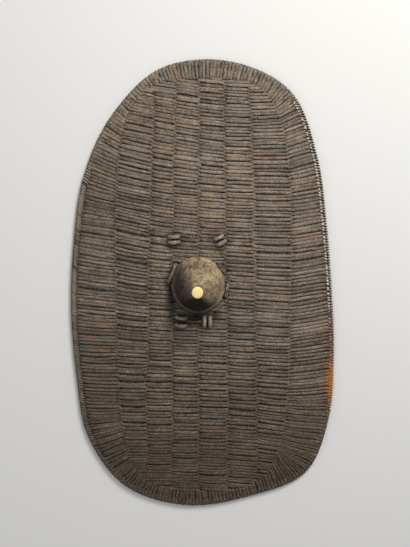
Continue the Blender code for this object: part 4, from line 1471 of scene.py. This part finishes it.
@dataclass
class Boss:
    """The carved boss: a rounded cone with a thin brim, cut with a blade, and its pale plug.

    Attributes:
        panel: Form that it sits on.
        centre: Its middle.
        stretch: How much longer than wide it is.
        profile: Radius and height over the crests.
    """

    panel: Panel
    wood: bpy.types.Material
    pale: bpy.types.Material
    centre: tuple[float, float] = (-0.011, 0.0255)
    stretch: float = 1.06
    profile: tuple[tuple[float, float], ...] = (
        (0.0575, 0.0000), (0.0580, 0.0030), (0.0565, 0.0060), (0.0530, 0.0095),
        (0.0505, 0.0120), (0.0490, 0.0165), (0.0470, 0.0260), (0.0425, 0.0400),
        (0.0350, 0.0560), (0.0265, 0.0700), (0.0190, 0.0810), (0.0150, 0.0880), (0.0138, 0.0900),
    )
    tip_radius: float = 0.0128
    tip_proud: float = 0.0045
    around: int = 168
    levels: int = 100

    def seat(self) -> float:
        """Returns the height of the crests' front under the boss."""
        return self.panel.front(*self.centre)

    def body(self) -> bpy.types.Object:
        """Returns the carved body."""
        marks = np.array(self.profile)
        travelled = np.concatenate([[0.0], np.cumsum(np.hypot(*np.diff(marks, axis=0).T))])
        wanted = np.linspace(0.0, travelled[-1], self.levels)
        radius = np.interp(wanted, travelled, marks[:, 0])
        height = np.interp(wanted, travelled, marks[:, 1])
        kernel = np.array([0.25, 0.5, 0.25])
        for _ in range(6):
            radius[1:-1] = np.convolve(radius, kernel, "valid")
            height[1:-1] = np.convolve(height, kernel, "valid")
        angle = 2 * math.pi * np.arange(self.around) / self.around
        grid_angle, grid_radius = np.meshgrid(angle, radius)
        _, grid_height = np.meshgrid(angle, height)
        up_share = grid_height / height[-1]
        carve = self.carving(grid_angle, up_share)
        inner = np.clip((1 - up_share) * 12, 0, 1)
        grid_radius = grid_radius + carve * inner
        x = self.centre[0] + grid_radius * np.cos(grid_angle)
        y = self.centre[1] + self.stretch * grid_radius * np.sin(grid_angle)
        z = self.seat() + grid_height
        floor = self.panel.middle(x, y) + self.panel.valley + self.panel.front_swell + self.panel.gap
        z = np.where(up_share < 0.035, floor + (z - self.seat()), z)
        z = np.maximum(z, floor)
        under = []
        for share in (0.7, 0.35, 0.0):
            ux = self.centre[0] + share * (x[0] - self.centre[0])
            uy = self.centre[1] + share * (y[0] - self.centre[1])
            uz = self.panel.middle(ux, uy) + self.panel.valley + self.panel.front_swell + self.panel.gap
            under.append((ux, uy, uz))
        top = []
        for share, drop in ((0.93, 0.0), (0.925, 0.010)):
            tx = self.centre[0] + share * (x[-1] - self.centre[0])
            ty = self.centre[1] + share * (y[-1] - self.centre[1])
            top.append((tx, ty, z[-1] - drop))
        tx = np.full(self.around, self.centre[0])
        top.append((tx, np.full(self.around, self.centre[1]), z[-1] - 0.010))
        rows = [np.stack(u, axis=1) for u in reversed(under)]
        rows += [np.stack([x[k], y[k], z[k]], axis=1) for k in range(self.levels)]
        rows += [np.stack(t, axis=1) for t in top]
        values = self.body_values(np.stack(rows), angle, len(under), up_share)
        return revolved(rows, values).build("carved_boss", self.wood)

    def carving(self, angle: Array, share: Array) -> Array:
        """Returns how far the carved surface stands out from the plain cone.

        Args:
            angle: Direction from the boss's middle.
            share: Share of the way up.

        Returns:
            Distances, outwards positive.
        """
        noise = SmoothNoise(41)
        cos, sin = np.cos(angle), np.sin(angle)
        form = 0.0011 * noise.layered(cos * 1.3 + share * 2.2 + 9, sin * 1.3 - share * 1.7, 3)
        cells = np.floor(angle / (2 * math.pi) * 19 + 0.8 * np.sin(share * 9)) * 2 * math.pi / 19
        flats = 0.0007 * (np.cos((angle - cells) * 9.5 - 1.5) - 0.6) * np.clip(share * 6 - 0.8, 0, 1) * np.clip(4.5 - 5 * share, 0, 1)
        grooves = 0.00032 * np.sin(share * 95 + 2.5 * noise.at(cos * 2.5 + 3, sin * 2.5)) * np.clip(share * 4 - 1, 0, 1)
        cracks = np.zeros_like(angle)
        for where, start, end, depth in ((4.1, 0.10, 0.55, 0.0016), (5.35, 0.04, 0.30, 0.0014), (2.6, 0.05, 0.45, 0.0011), (0.9, 0.3, 0.6, 0.0009)):
            wander = where + 0.05 * np.sin(share * 17 + where)
            off = np.abs(np.angle(np.exp(1j * (angle - wander))))
            along = np.clip((share - start) * 12, 0, 1) * np.clip((end - share) * 12, 0, 1)
            cracks -= depth * np.exp(-((off / 0.022) ** 2)) * along
        brim = 0.0013 * noise.layered(cos * 3 + 2, sin * 3 + 5, 3) * np.clip(1 - share * 9, 0, 1)
        return form + flats + grooves + cracks + brim

    def body_values(self, rows: Array, angle: Array, under: int, share: Array) -> dict[str, Array]:
        """Returns the finish values of the body's vertices, row by row, with the painted highlight and painted shadow.
        """
        x, y = rows[..., 0] - self.centre[0], rows[..., 1] - self.centre[1]
        turn, reach = np.degrees(np.arctan2(y, x)), np.hypot(x, y)
        noise = SmoothNoise(43)

        def lobe(middle: float, half: float) -> Array:
            """Returns 1 in a direction from the boss's middle and 0 far from it."""
            return np.exp(-((((turn - middle + 180) % 360 - 180) / half) ** 4))

        worm = np.clip(np.abs(noise.layered(x / 0.011, y / 0.011, 2)) * 9.0, 0.30, 1.0)
        # painted highlight: the upper-right flank and the top near the tip lighter, where the light falls; it goes into
        # the wear value
        lit = np.maximum(lobe(62, 62), 0.62 * lobe(5, 52)) + 0.30 * lobe(150, 60) * np.exp(-((reach / 0.026) ** 4))
        lit = lit * worm * (0.85 + 0.4 * noise.layered(x / 0.014, y / 0.014, 3))
        # painted shadow: the lower flank under the tip, and more faintly the lower left, kept very dark
        lower_flank_shadow = lobe(-93, 40) * np.clip((reach - 0.010) / 0.006, 0, 1) * np.clip((0.0535 - reach) / 0.006, 0, 1)
        lower_flank_shadow = lower_flank_shadow + 0.35 * lobe(-150, 60) * np.clip((reach - 0.016) / 0.01, 0, 1)
        ring = np.exp(-(((reach - 0.0520) / 0.0036) ** 2)) * (lobe(-145, 50) + lobe(-35, 40)) * 1.5
        ring = ring - 0.5 * np.exp(-(((reach - 0.0455) / 0.0016) ** 2)) * (0.5 + 0.5 * noise.at(turn / 20, 1.5))
        grain = np.stack([np.radians(turn) * 0.040, reach + 0.2 * rows[..., 2], rows[..., 2] * 0.4], axis=-1)
        tone = 0.12 * noise.layered(x / 0.02 + 4, y / 0.02, 3) + 0.35 * ring + 0.08
        shade = np.clip(lower_flank_shadow * (0.85 + 0.3 * noise.at(x / 0.006, y / 0.006)), 0, 1)
        # painted shade on the underside rows
        shade[:under] = 1.0
        return {"grain": grain, "tone": tone, "shade": shade, "wear_and_painted_highlight": np.clip(lit * (1 - lower_flank_shadow), 0, 1)}

    def tip(self) -> bpy.types.Object:
        """Returns the pale plug."""
        top = self.seat() + self.profile[-1][1]
        radius = self.tip_radius - 0.0003
        noise = SmoothNoise(47)
        angle = 2 * math.pi * np.arange(64) / 64
        rows, shades = [], []
        for share in (0.0, 0.25, 0.5, 0.72, 0.88, 0.97, 1.0):
            wobble = 1 + 0.03 * share * noise.at(np.cos(angle) * 2 + 5, np.sin(angle) * 2)
            reach = radius * 0.93 * share * wobble
            dome = 0.30 + 0.70 * math.sqrt(max(1 - share**4, 0.0))
            x = self.centre[0] + reach * np.cos(angle)
            y = self.centre[1] + self.stretch * reach * np.sin(angle)
            z = top + self.tip_proud * dome + 0.0004 * noise.layered(x / 0.006, y / 0.006, 2)
            rows.append(np.stack([x, y, z], axis=1))
            shades.append(np.full(64, 0.75 * share**5))
        for drop in (0.004, 0.0117):
            rows.append(np.stack([rows[6][:, 0], rows[6][:, 1], np.full(64, top - drop)], axis=1))
            shades.append(np.full(64, 1.0))
        rows.append(np.stack([np.full(64, self.centre[0]), np.full(64, self.centre[1]), np.full(64, top - 0.0117)], axis=1))
        shades.append(np.full(64, 1.0))
        rows.reverse()
        shades.reverse()
        return revolved(rows, {"shade": np.array(shades)}).build("pale_tip_plug", self.pale)

    def make(self) -> list[bpy.types.Object]:
        """Returns the boss's pieces."""
        return [self.body(), self.tip()]


def revolved(rows: list[Array], values: dict[str, Array]) -> Soup:
    """Closes rings of places into one body, whose first and last rings are single places.

    Args:
        rows: Rings from the lowest to the highest, all with the same number of places.
        values: Values for each place of each ring.

    Returns:
        A soup that holds the body.
    """
    around = len(rows[0])
    inner = rows[1:-1]
    points = np.concatenate([*inner, rows[0][:1], rows[-1][:1]])
    ring, nxt = np.arange(around), (np.arange(around) + 1) % around
    base = around * np.arange(len(inner) - 1)[:, None]
    quads = np.stack([base + ring, base + nxt, base + around + nxt, base + around + ring], axis=-1)
    low, high = around * len(inner), around * len(inner) + 1
    last = around * (len(inner) - 1)
    tris = np.concatenate([
        np.stack([nxt, ring, np.full(around, low)], axis=-1),
        np.stack([last + ring, last + nxt, np.full(around, high)], axis=-1),
    ])
    shaped = {}
    for name, value in values.items():
        flat = value[1:-1].reshape(around * len(inner), *value.shape[2:])
        shaped[name] = np.concatenate([flat, value[0][:1], value[-1][:1]])
    soup = Soup()
    soup.add(points, quads, tris, shaped)
    return soup


@dataclass(frozen=True)
class TieSpec:
    """Where one tie goes.

    Attributes:
        node: Its solid.
        middle: Its middle.
        degrees: Direction of a turn.
        half_span: Half the length of a turn.
        room: Distance between two turns.
    """

    node: str
    middle: tuple[float, float]
    degrees: float
    half_span: float
    room: float

    def legs(self) -> list[tuple[Array, Array]]:
        """Returns, for each turn, the places where it goes through the panel."""
        turn = math.radians(self.degrees)
        across = np.array([math.cos(turn), math.sin(turn)])
        stack = np.array([-across[1], across[0]])
        middles = [np.array(self.middle) + stack * self.room * side for side in (0.5, -0.5)]
        return [(middle - across * self.half_span, middle + across * self.half_span) for middle in middles]


@dataclass
class Ties:
    """The four cords that hold the grip, and the thin cords over the boss's brim."""

    panel: Panel
    material: bpy.types.Material
    radius: float = 0.0042
    rise: float = 0.0040
    slack: float = 0.0012
    foot_depth: float = 0.012
    foot_width: float = 0.036
    upper_foot: tuple[float, float, float] = (-0.0675, 0.0440, 0.1215)
    lower_foot: tuple[float, float, float] = (-0.0530, 0.0270, -0.0505)
    specs: tuple[TieSpec, ...] = (
        TieSpec("upper_left_tie", (-0.0610, 0.1225), 2.0, 0.0110, 0.0115),
        TieSpec("upper_right_tie", (0.0355, 0.1210), 28.0, 0.0100, 0.0125),
        TieSpec("lower_left_tie", (-0.0465, -0.0520), -4.0, 0.0110, 0.0165),
        TieSpec("lower_right_tie", (0.0090, -0.0525), 90.0, 0.0115, 0.0120),
    )
    cross_from: str = "lower_left_tie"
    lashing_radius: float = 0.0024
    lashing_reach: float = 0.0635
    lashings: tuple[tuple[str, float, float], ...] = (
        ("left_boss_lashing", 157.0, 20.0),
        ("right_boss_lashing", -9.0, 13.0),
        ("upper_right_boss_lashing", 35.0, 10.0),
        ("lower_right_boss_lashing", -43.0, 11.0),
    )
    boss_centre: tuple[float, float] = (-0.011, 0.0255)
    boss_stretch: float = 1.06

    def holes(self) -> tuple[tuple[float, float], ...]:
        """Returns where cords go through the panel."""
        found = []
        for spec in self.specs:
            for leg in spec.legs():
                found += [tuple(float(v) for v in end) for end in leg]
        for _, degrees, half_angle in self.lashings:
            found += [tuple(float(v) for v in leg) for leg in self.lashing_legs(degrees, half_angle)]
        return tuple(found)

    def front(self, place: Array, reach: float) -> float:
        """Returns the highest crest within reach of a place."""
        around = [place + reach * np.array([math.cos(a), math.sin(a)]) for a in np.linspace(0, 2 * math.pi, 9)[:-1]]
        return max(self.panel.front(*p) for p in [place, *around])

    def behind(self, spec: TieSpec) -> float:
        """Returns the height of a tie's turn under the grip's foot."""
        left, right, y = self.upper_foot if spec.middle[1] > 0 else self.lower_foot
        corners = np.array([(x, y + side * self.foot_width / 2) for x in (left, right) for side in (-1, 1)])
        lowest = self.panel.middle(corners[:, 0], corners[:, 1]).min() - self.panel.valley - self.panel.back_swell
        return float(lowest) - self.foot_depth - self.radius - self.slack

    def tie(self, spec: TieSpec) -> bpy.types.Object:
        """Returns one two-turn cord, twisted of two plies."""
        legs = spec.legs()
        behind = self.behind(spec)
        inwards = (legs[0][1] - legs[0][0]) * 0.36
        corners = [(*(legs[0][0] + inwards), behind)]
        for start, end in legs:
            middle = (start + end) / 2
            top = max(self.front(start, 0.004), self.front(end, 0.004)) + 0.5 * self.radius
            crown = self.front(middle, 0.006) + self.radius + self.rise
            for place, height in ((start, behind), (start, top), (middle, crown + 0.002), (end, top), (end, behind)):
                corners.append((*place, height))
        corners.append((*(legs[1][1] - inwards), behind))
        path = spaced(smooth_path(np.array(corners), 3), 0.0014)
        soup = Soup()
        stack = legs[0][0] - legs[1][0]
        up = np.cross(np.gradient(path, axis=0), np.array([*stack, 0.0]))
        up /= np.maximum(np.linalg.norm(up, axis=1, keepdims=True), 1e-9)
        count = len(path)
        twist = np.arange(count) * 0.0014 / 0.0062
        rng = np.random.default_rng(len(spec.node))
        tone = 0.06 * SmoothNoise(7).at(np.arange(count) * 0.2, 0.5) + 0.10
        Strand(path, up, self.radius * 1.02, self.radius * 1.02, tone, 20, twist, plies=2).into(soup, rng.random())
        if spec.node == self.cross_from:
            self.cross_cord().into(soup, 0.5)
        return soup.build(f"{spec.node}_cord", self.material)

    def cross_cord(self) -> Strand:
        """Returns the thin reddish cord between the two lower ties."""
        x = np.linspace(-0.036, 0.002, 20)
        y = -0.0500 - 0.0022 * np.sin((x + 0.036) / 0.038 * math.pi)
        lift = self.panel.valley + self.panel.front_swell + 0.0016
        path = self.panel.lifted(x, y, lift + 0.0006 * np.sin(x * 500))
        return Strand(path, self.panel.normal(x, y), 0.0015, 0.0014, 0.1, 8, x * 900)

    def lashing_legs(self, degrees: float, half_angle: float) -> list[Array]:
        """Returns where a lashing goes through the panel."""
        legs = []
        for side in (-1, 1):
            angle = math.radians(degrees + side * half_angle)
            offset = self.lashing_reach * np.array([math.cos(angle), self.boss_stretch * math.sin(angle)])
            legs.append(np.array(self.boss_centre) + offset)
        return legs

    def lashing(self, name: str, degrees: float, half_angle: float) -> bpy.types.Object:
        """Returns one thin cord over the brim."""
        start, end = self.lashing_legs(degrees, half_angle)
        between = (start + end) / 2
        back = min(float(self.panel.middle(*leg)) for leg in (start, end)) - self.panel.valley - 0.0014
        behind = back - self.lashing_radius - 0.0016
        low = max(self.front(leg, 0.003) for leg in (start, end)) + self.lashing_radius + 0.0012
        crown = max(self.panel.front(*self.boss_centre) + 0.0062 + self.lashing_radius + 0.0016, low)
        inwards = (end - start) * 0.3
        corners = [
            (*(start + inwards), behind), (*start, behind), (*start, low), (*(start * 0.7 + between * 0.3), crown),
            (*(end * 0.7 + between * 0.3), crown), (*end, low), (*end, behind), (*(end - inwards), behind),
        ]
        path = spaced(smooth_path(np.array(corners), 3), 0.0012)
        outward = np.array([*(between - np.array(self.boss_centre)), 0.0])
        up = np.cross(np.gradient(path, axis=0), outward)
        up /= np.maximum(np.linalg.norm(up, axis=1, keepdims=True), 1e-9)
        soup = Soup()
        side = np.cross(up, np.gradient(path, axis=0))
        side /= np.maximum(np.linalg.norm(side, axis=1, keepdims=True), 1e-9)
        noise = SmoothNoise(int(degrees) % 97)
        where = np.arange(len(path)) * 0.0012
        for k, (shift, rise) in enumerate(((-1.0, 0.0), (0.9, 0.1), (0.0, 0.75))):
            stray = 0.0007 * np.stack([noise.at(where / 0.012, 3.0 * k + axis) for axis in range(3)], axis=1)
            strand = path + 0.0016 * shift * side + 0.0012 * rise * up + stray
            Strand(strand, up, 0.00125, 0.00125, 0.05 * k, 8, where / 0.0035).into(soup, degrees + k)
        return soup.build(f"{name}_cord", self.material)

    def make(self) -> list[tuple[bpy.types.Object, str]]:
        """Returns each cord with the solid that it stands for."""
        pieces = [(self.tie(spec), spec.node) for spec in self.specs]
        pieces += [(self.lashing(*values), values[0]) for values in self.lashings]
        return pieces


@dataclass
class Grip:
    """The carved grip behind the panel, rounded and cut with a blade."""

    solid: bpy.types.Object
    material: bpy.types.Material
    voxel: float = 0.0018

    def make(self) -> bpy.types.Object:
        """Returns the grip, worked over from its solid."""
        piece = bpy.data.objects.new("carved_hand_grip", self.solid.data.copy())
        bpy.context.scene.collection.objects.link(piece)
        remesh = piece.modifiers.new("remesh", "REMESH")
        remesh.mode = "VOXEL"
        remesh.voxel_size = self.voxel
        soften = piece.modifiers.new("soften", "SMOOTH")
        soften.factor, soften.iterations = 0.5, 4
        graph = bpy.context.evaluated_depsgraph_get()
        mesh = bpy.data.meshes.new_from_object(piece.evaluated_get(graph))
        piece.modifiers.clear()
        piece.data = mesh
        count = len(mesh.vertices)
        points, normals = np.empty(count * 3), np.empty(count * 3)
        mesh.vertices.foreach_get("co", points)
        mesh.vertices.foreach_get("normal", normals)
        points, normals = points.reshape(-1, 3), normals.reshape(-1, 3)
        noise = SmoothNoise(53)
        cut = noise.layered(points[:, 0] / 0.010 + points[:, 2] / 0.013, points[:, 1] / 0.016, 2)
        points += normals * (0.00045 * cut)[:, None]
        mesh.vertices.foreach_set("co", points.ravel())
        mesh.shade_smooth()
        mesh.materials.clear()
        mesh.materials.append(self.material)
        mesh.update()
        return piece


@dataclass
class Studio:
    """Floor, soft light and the camera."""

    floor_half: float = 6.0
    camera_place: tuple[float, float, float] = (0.0039, 0.2736, 1.6682)
    camera_tilt: float = -8.0
    lens: float = 50.0

    def floor(self) -> bpy.types.Object:
        """Returns the pale floor."""
        half = self.floor_half
        mesh = bpy.data.meshes.new("floor")
        mesh.from_pydata([(-half, -half, 0), (half, -half, 0), (half, half, 0), (-half, half, 0)], [], [(0, 1, 2, 3)])
        mesh.materials.append(FloorFinish().make())
        floor = bpy.data.objects.new("floor", mesh)
        bpy.context.scene.collection.objects.link(floor)
        return floor

    def light(self, name: str, place: tuple[float, float, float], size: float, power: float, colour: tuple[float, float, float]) -> None:
        """Adds a soft square light that looks at the shield.

        Args:
            name: Its name.
            place: Where it hangs.
            size: Its side.
            power: Its power in watts.
            colour: Its colour.
        """
        data = bpy.data.lights.new(name, "AREA")
        data.shape, data.size, data.energy, data.color = "SQUARE", size, power, colour
        lamp = bpy.data.objects.new(name, data)
        lamp.location = place
        flat = math.hypot(place[0], place[1])
        lamp.rotation_euler = (math.atan2(flat, place[2]), 0.0, math.atan2(place[0], -place[1]))
        bpy.context.scene.collection.objects.link(lamp)

    def camera(self) -> None:
        """Adds the camera at the photograph's viewing angle."""
        data = bpy.data.cameras.new("camera")
        data.lens, data.sensor_width, data.sensor_fit = self.lens, 36.0, "AUTO"
        camera = bpy.data.objects.new("camera", data)
        camera.location = self.camera_place
        camera.rotation_euler = (math.radians(self.camera_tilt), 0.0, 0.0)
        bpy.context.scene.collection.objects.link(camera)
        bpy.context.scene.camera = camera

    def world(self) -> None:
        """Sets the even light from all round."""
        world = bpy.data.worlds.new("studio")
        world.use_nodes = True
        back = world.node_tree.nodes["Background"]
        back.inputs["Color"].default_value = (0.98, 0.985, 1.0, 1.0)
        back.inputs["Strength"].default_value = 0.36
        bpy.context.scene.world = world
        bpy.context.scene.view_settings.view_transform = "Standard"

    def make(self) -> bpy.types.Object:
        """Sets the studio up and returns the floor."""
        self.camera()
        self.world()
        self.light("key", (0.85, 1.60, 1.75), 0.9, 47.0, (1.0, 0.98, 0.945))
        self.light("fill", (-1.6, -0.6, 2.4), 2.2, 8.0, (0.90, 0.95, 1.0))
        return self.floor()


def add_patina(piece: bpy.types.Object, patina: Patina, **shares: float) -> None:
    """Writes the patina's values to a piece's mesh.

    Args:
        piece: The piece.
        patina: The patina.
        **shares: Share that the piece takes of a kind, where it isn't all of it.
    """
    mesh = piece.data
    points = np.empty(3 * len(mesh.vertices), np.float32)
    mesh.vertices.foreach_get("co", points)
    points = points.reshape(-1, 3)
    for name, value in patina.values(points[:, 0].astype(float), points[:, 1].astype(float)).items():
        value = (value * shares.get(name, 1.0)).astype(np.float32)
        mesh.attributes.new(name, "FLOAT", "POINT").data.foreach_set("value", value)


def settle(piece: bpy.types.Object, slot: Slot, *nodes: str) -> None:
    """Puts a piece on the shield's body.

    Args:
        piece: The piece.
        slot: Finish that the record names.
        *nodes: Solids that the piece stands for.
    """
    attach(piece, BODY)
    if nodes:
        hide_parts(*nodes)
    LOG.info("%s: %d faces, %s", piece.name, len(piece.data.polygons), slot.value)


def main() -> None:
    """Builds the shield over its frame."""
    logging.basicConfig(level=logging.INFO, format="%(message)s")
    for obj in list(bpy.data.objects):
        bpy.data.objects.remove(obj, do_unlink=True)
    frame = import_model()
    studio = Studio()
    studio.make()

    outline = Outline()
    edge, panel = EdgePath(outline), Panel(outline)
    patina = Patina(panel)
    dark_cane = CaneFinish("dark_cane_weave").make()
    rim_cane = CaneFinish("rim_cane_strip", middle=(0.135, 0.102, 0.074), lift=0.0).make()
    slat_cane = CaneFinish("slat_cane", lift=-0.2).make()
    tie_cane = CaneFinish("tie_cord", lift=0.12, fibre_scale=(200.0, 1800.0, 1800.0)).make()

    ties = Ties(panel, tie_cane)
    border = Border(panel, edge, patina, dark_cane)
    for piece in WovenField(panel, Drift(holes=ties.holes()), patina, dark_cane).make():
        add_patina(piece, patina)
        settle(piece, Slot.DARK_CANE, "woven_body")
    for piece in border.make():
        add_patina(piece, patina)
        settle(piece, Slot.DARK_CANE, "woven_body")
    settle(Slats(panel, edge, border, slat_cane).make(), Slot.DARK_CANE, "woven_body")
    stitch = CaneFinish("rim_stitch", middle=(0.30, 0.235, 0.185), light=(0.70, 0.58, 0.49)).make()
    for piece in Rim(panel, border, edge, rim_cane, stitch).make():
        add_patina(piece, patina)
        settle(piece, Slot.RIM_CANE, "rim_binding")
    boss = Boss(panel, CarvedWoodFinish("carved_boss_wood").make(), PaleTipFinish("pale_tip_face").make())
    body, tip = boss.make()
    settle(body, Slot.CARVED_WOOD, "boss")
    settle(tip, Slot.PALE_TIP, "boss_tip")
    for piece, node in ties.make():
        # the cords take a small share of the painted shadow
        add_patina(piece, patina, soot=0.15)
        settle(piece, Slot.TIE_CANE, node)
    grip = Grip(frame["nodes"]["hand_grip"], GripWoodFinish("grip_wood_grain").make()).make()
    settle(grip, Slot.GRIP_WOOD, "hand_grip")


if __name__ == "__main__":
    main()
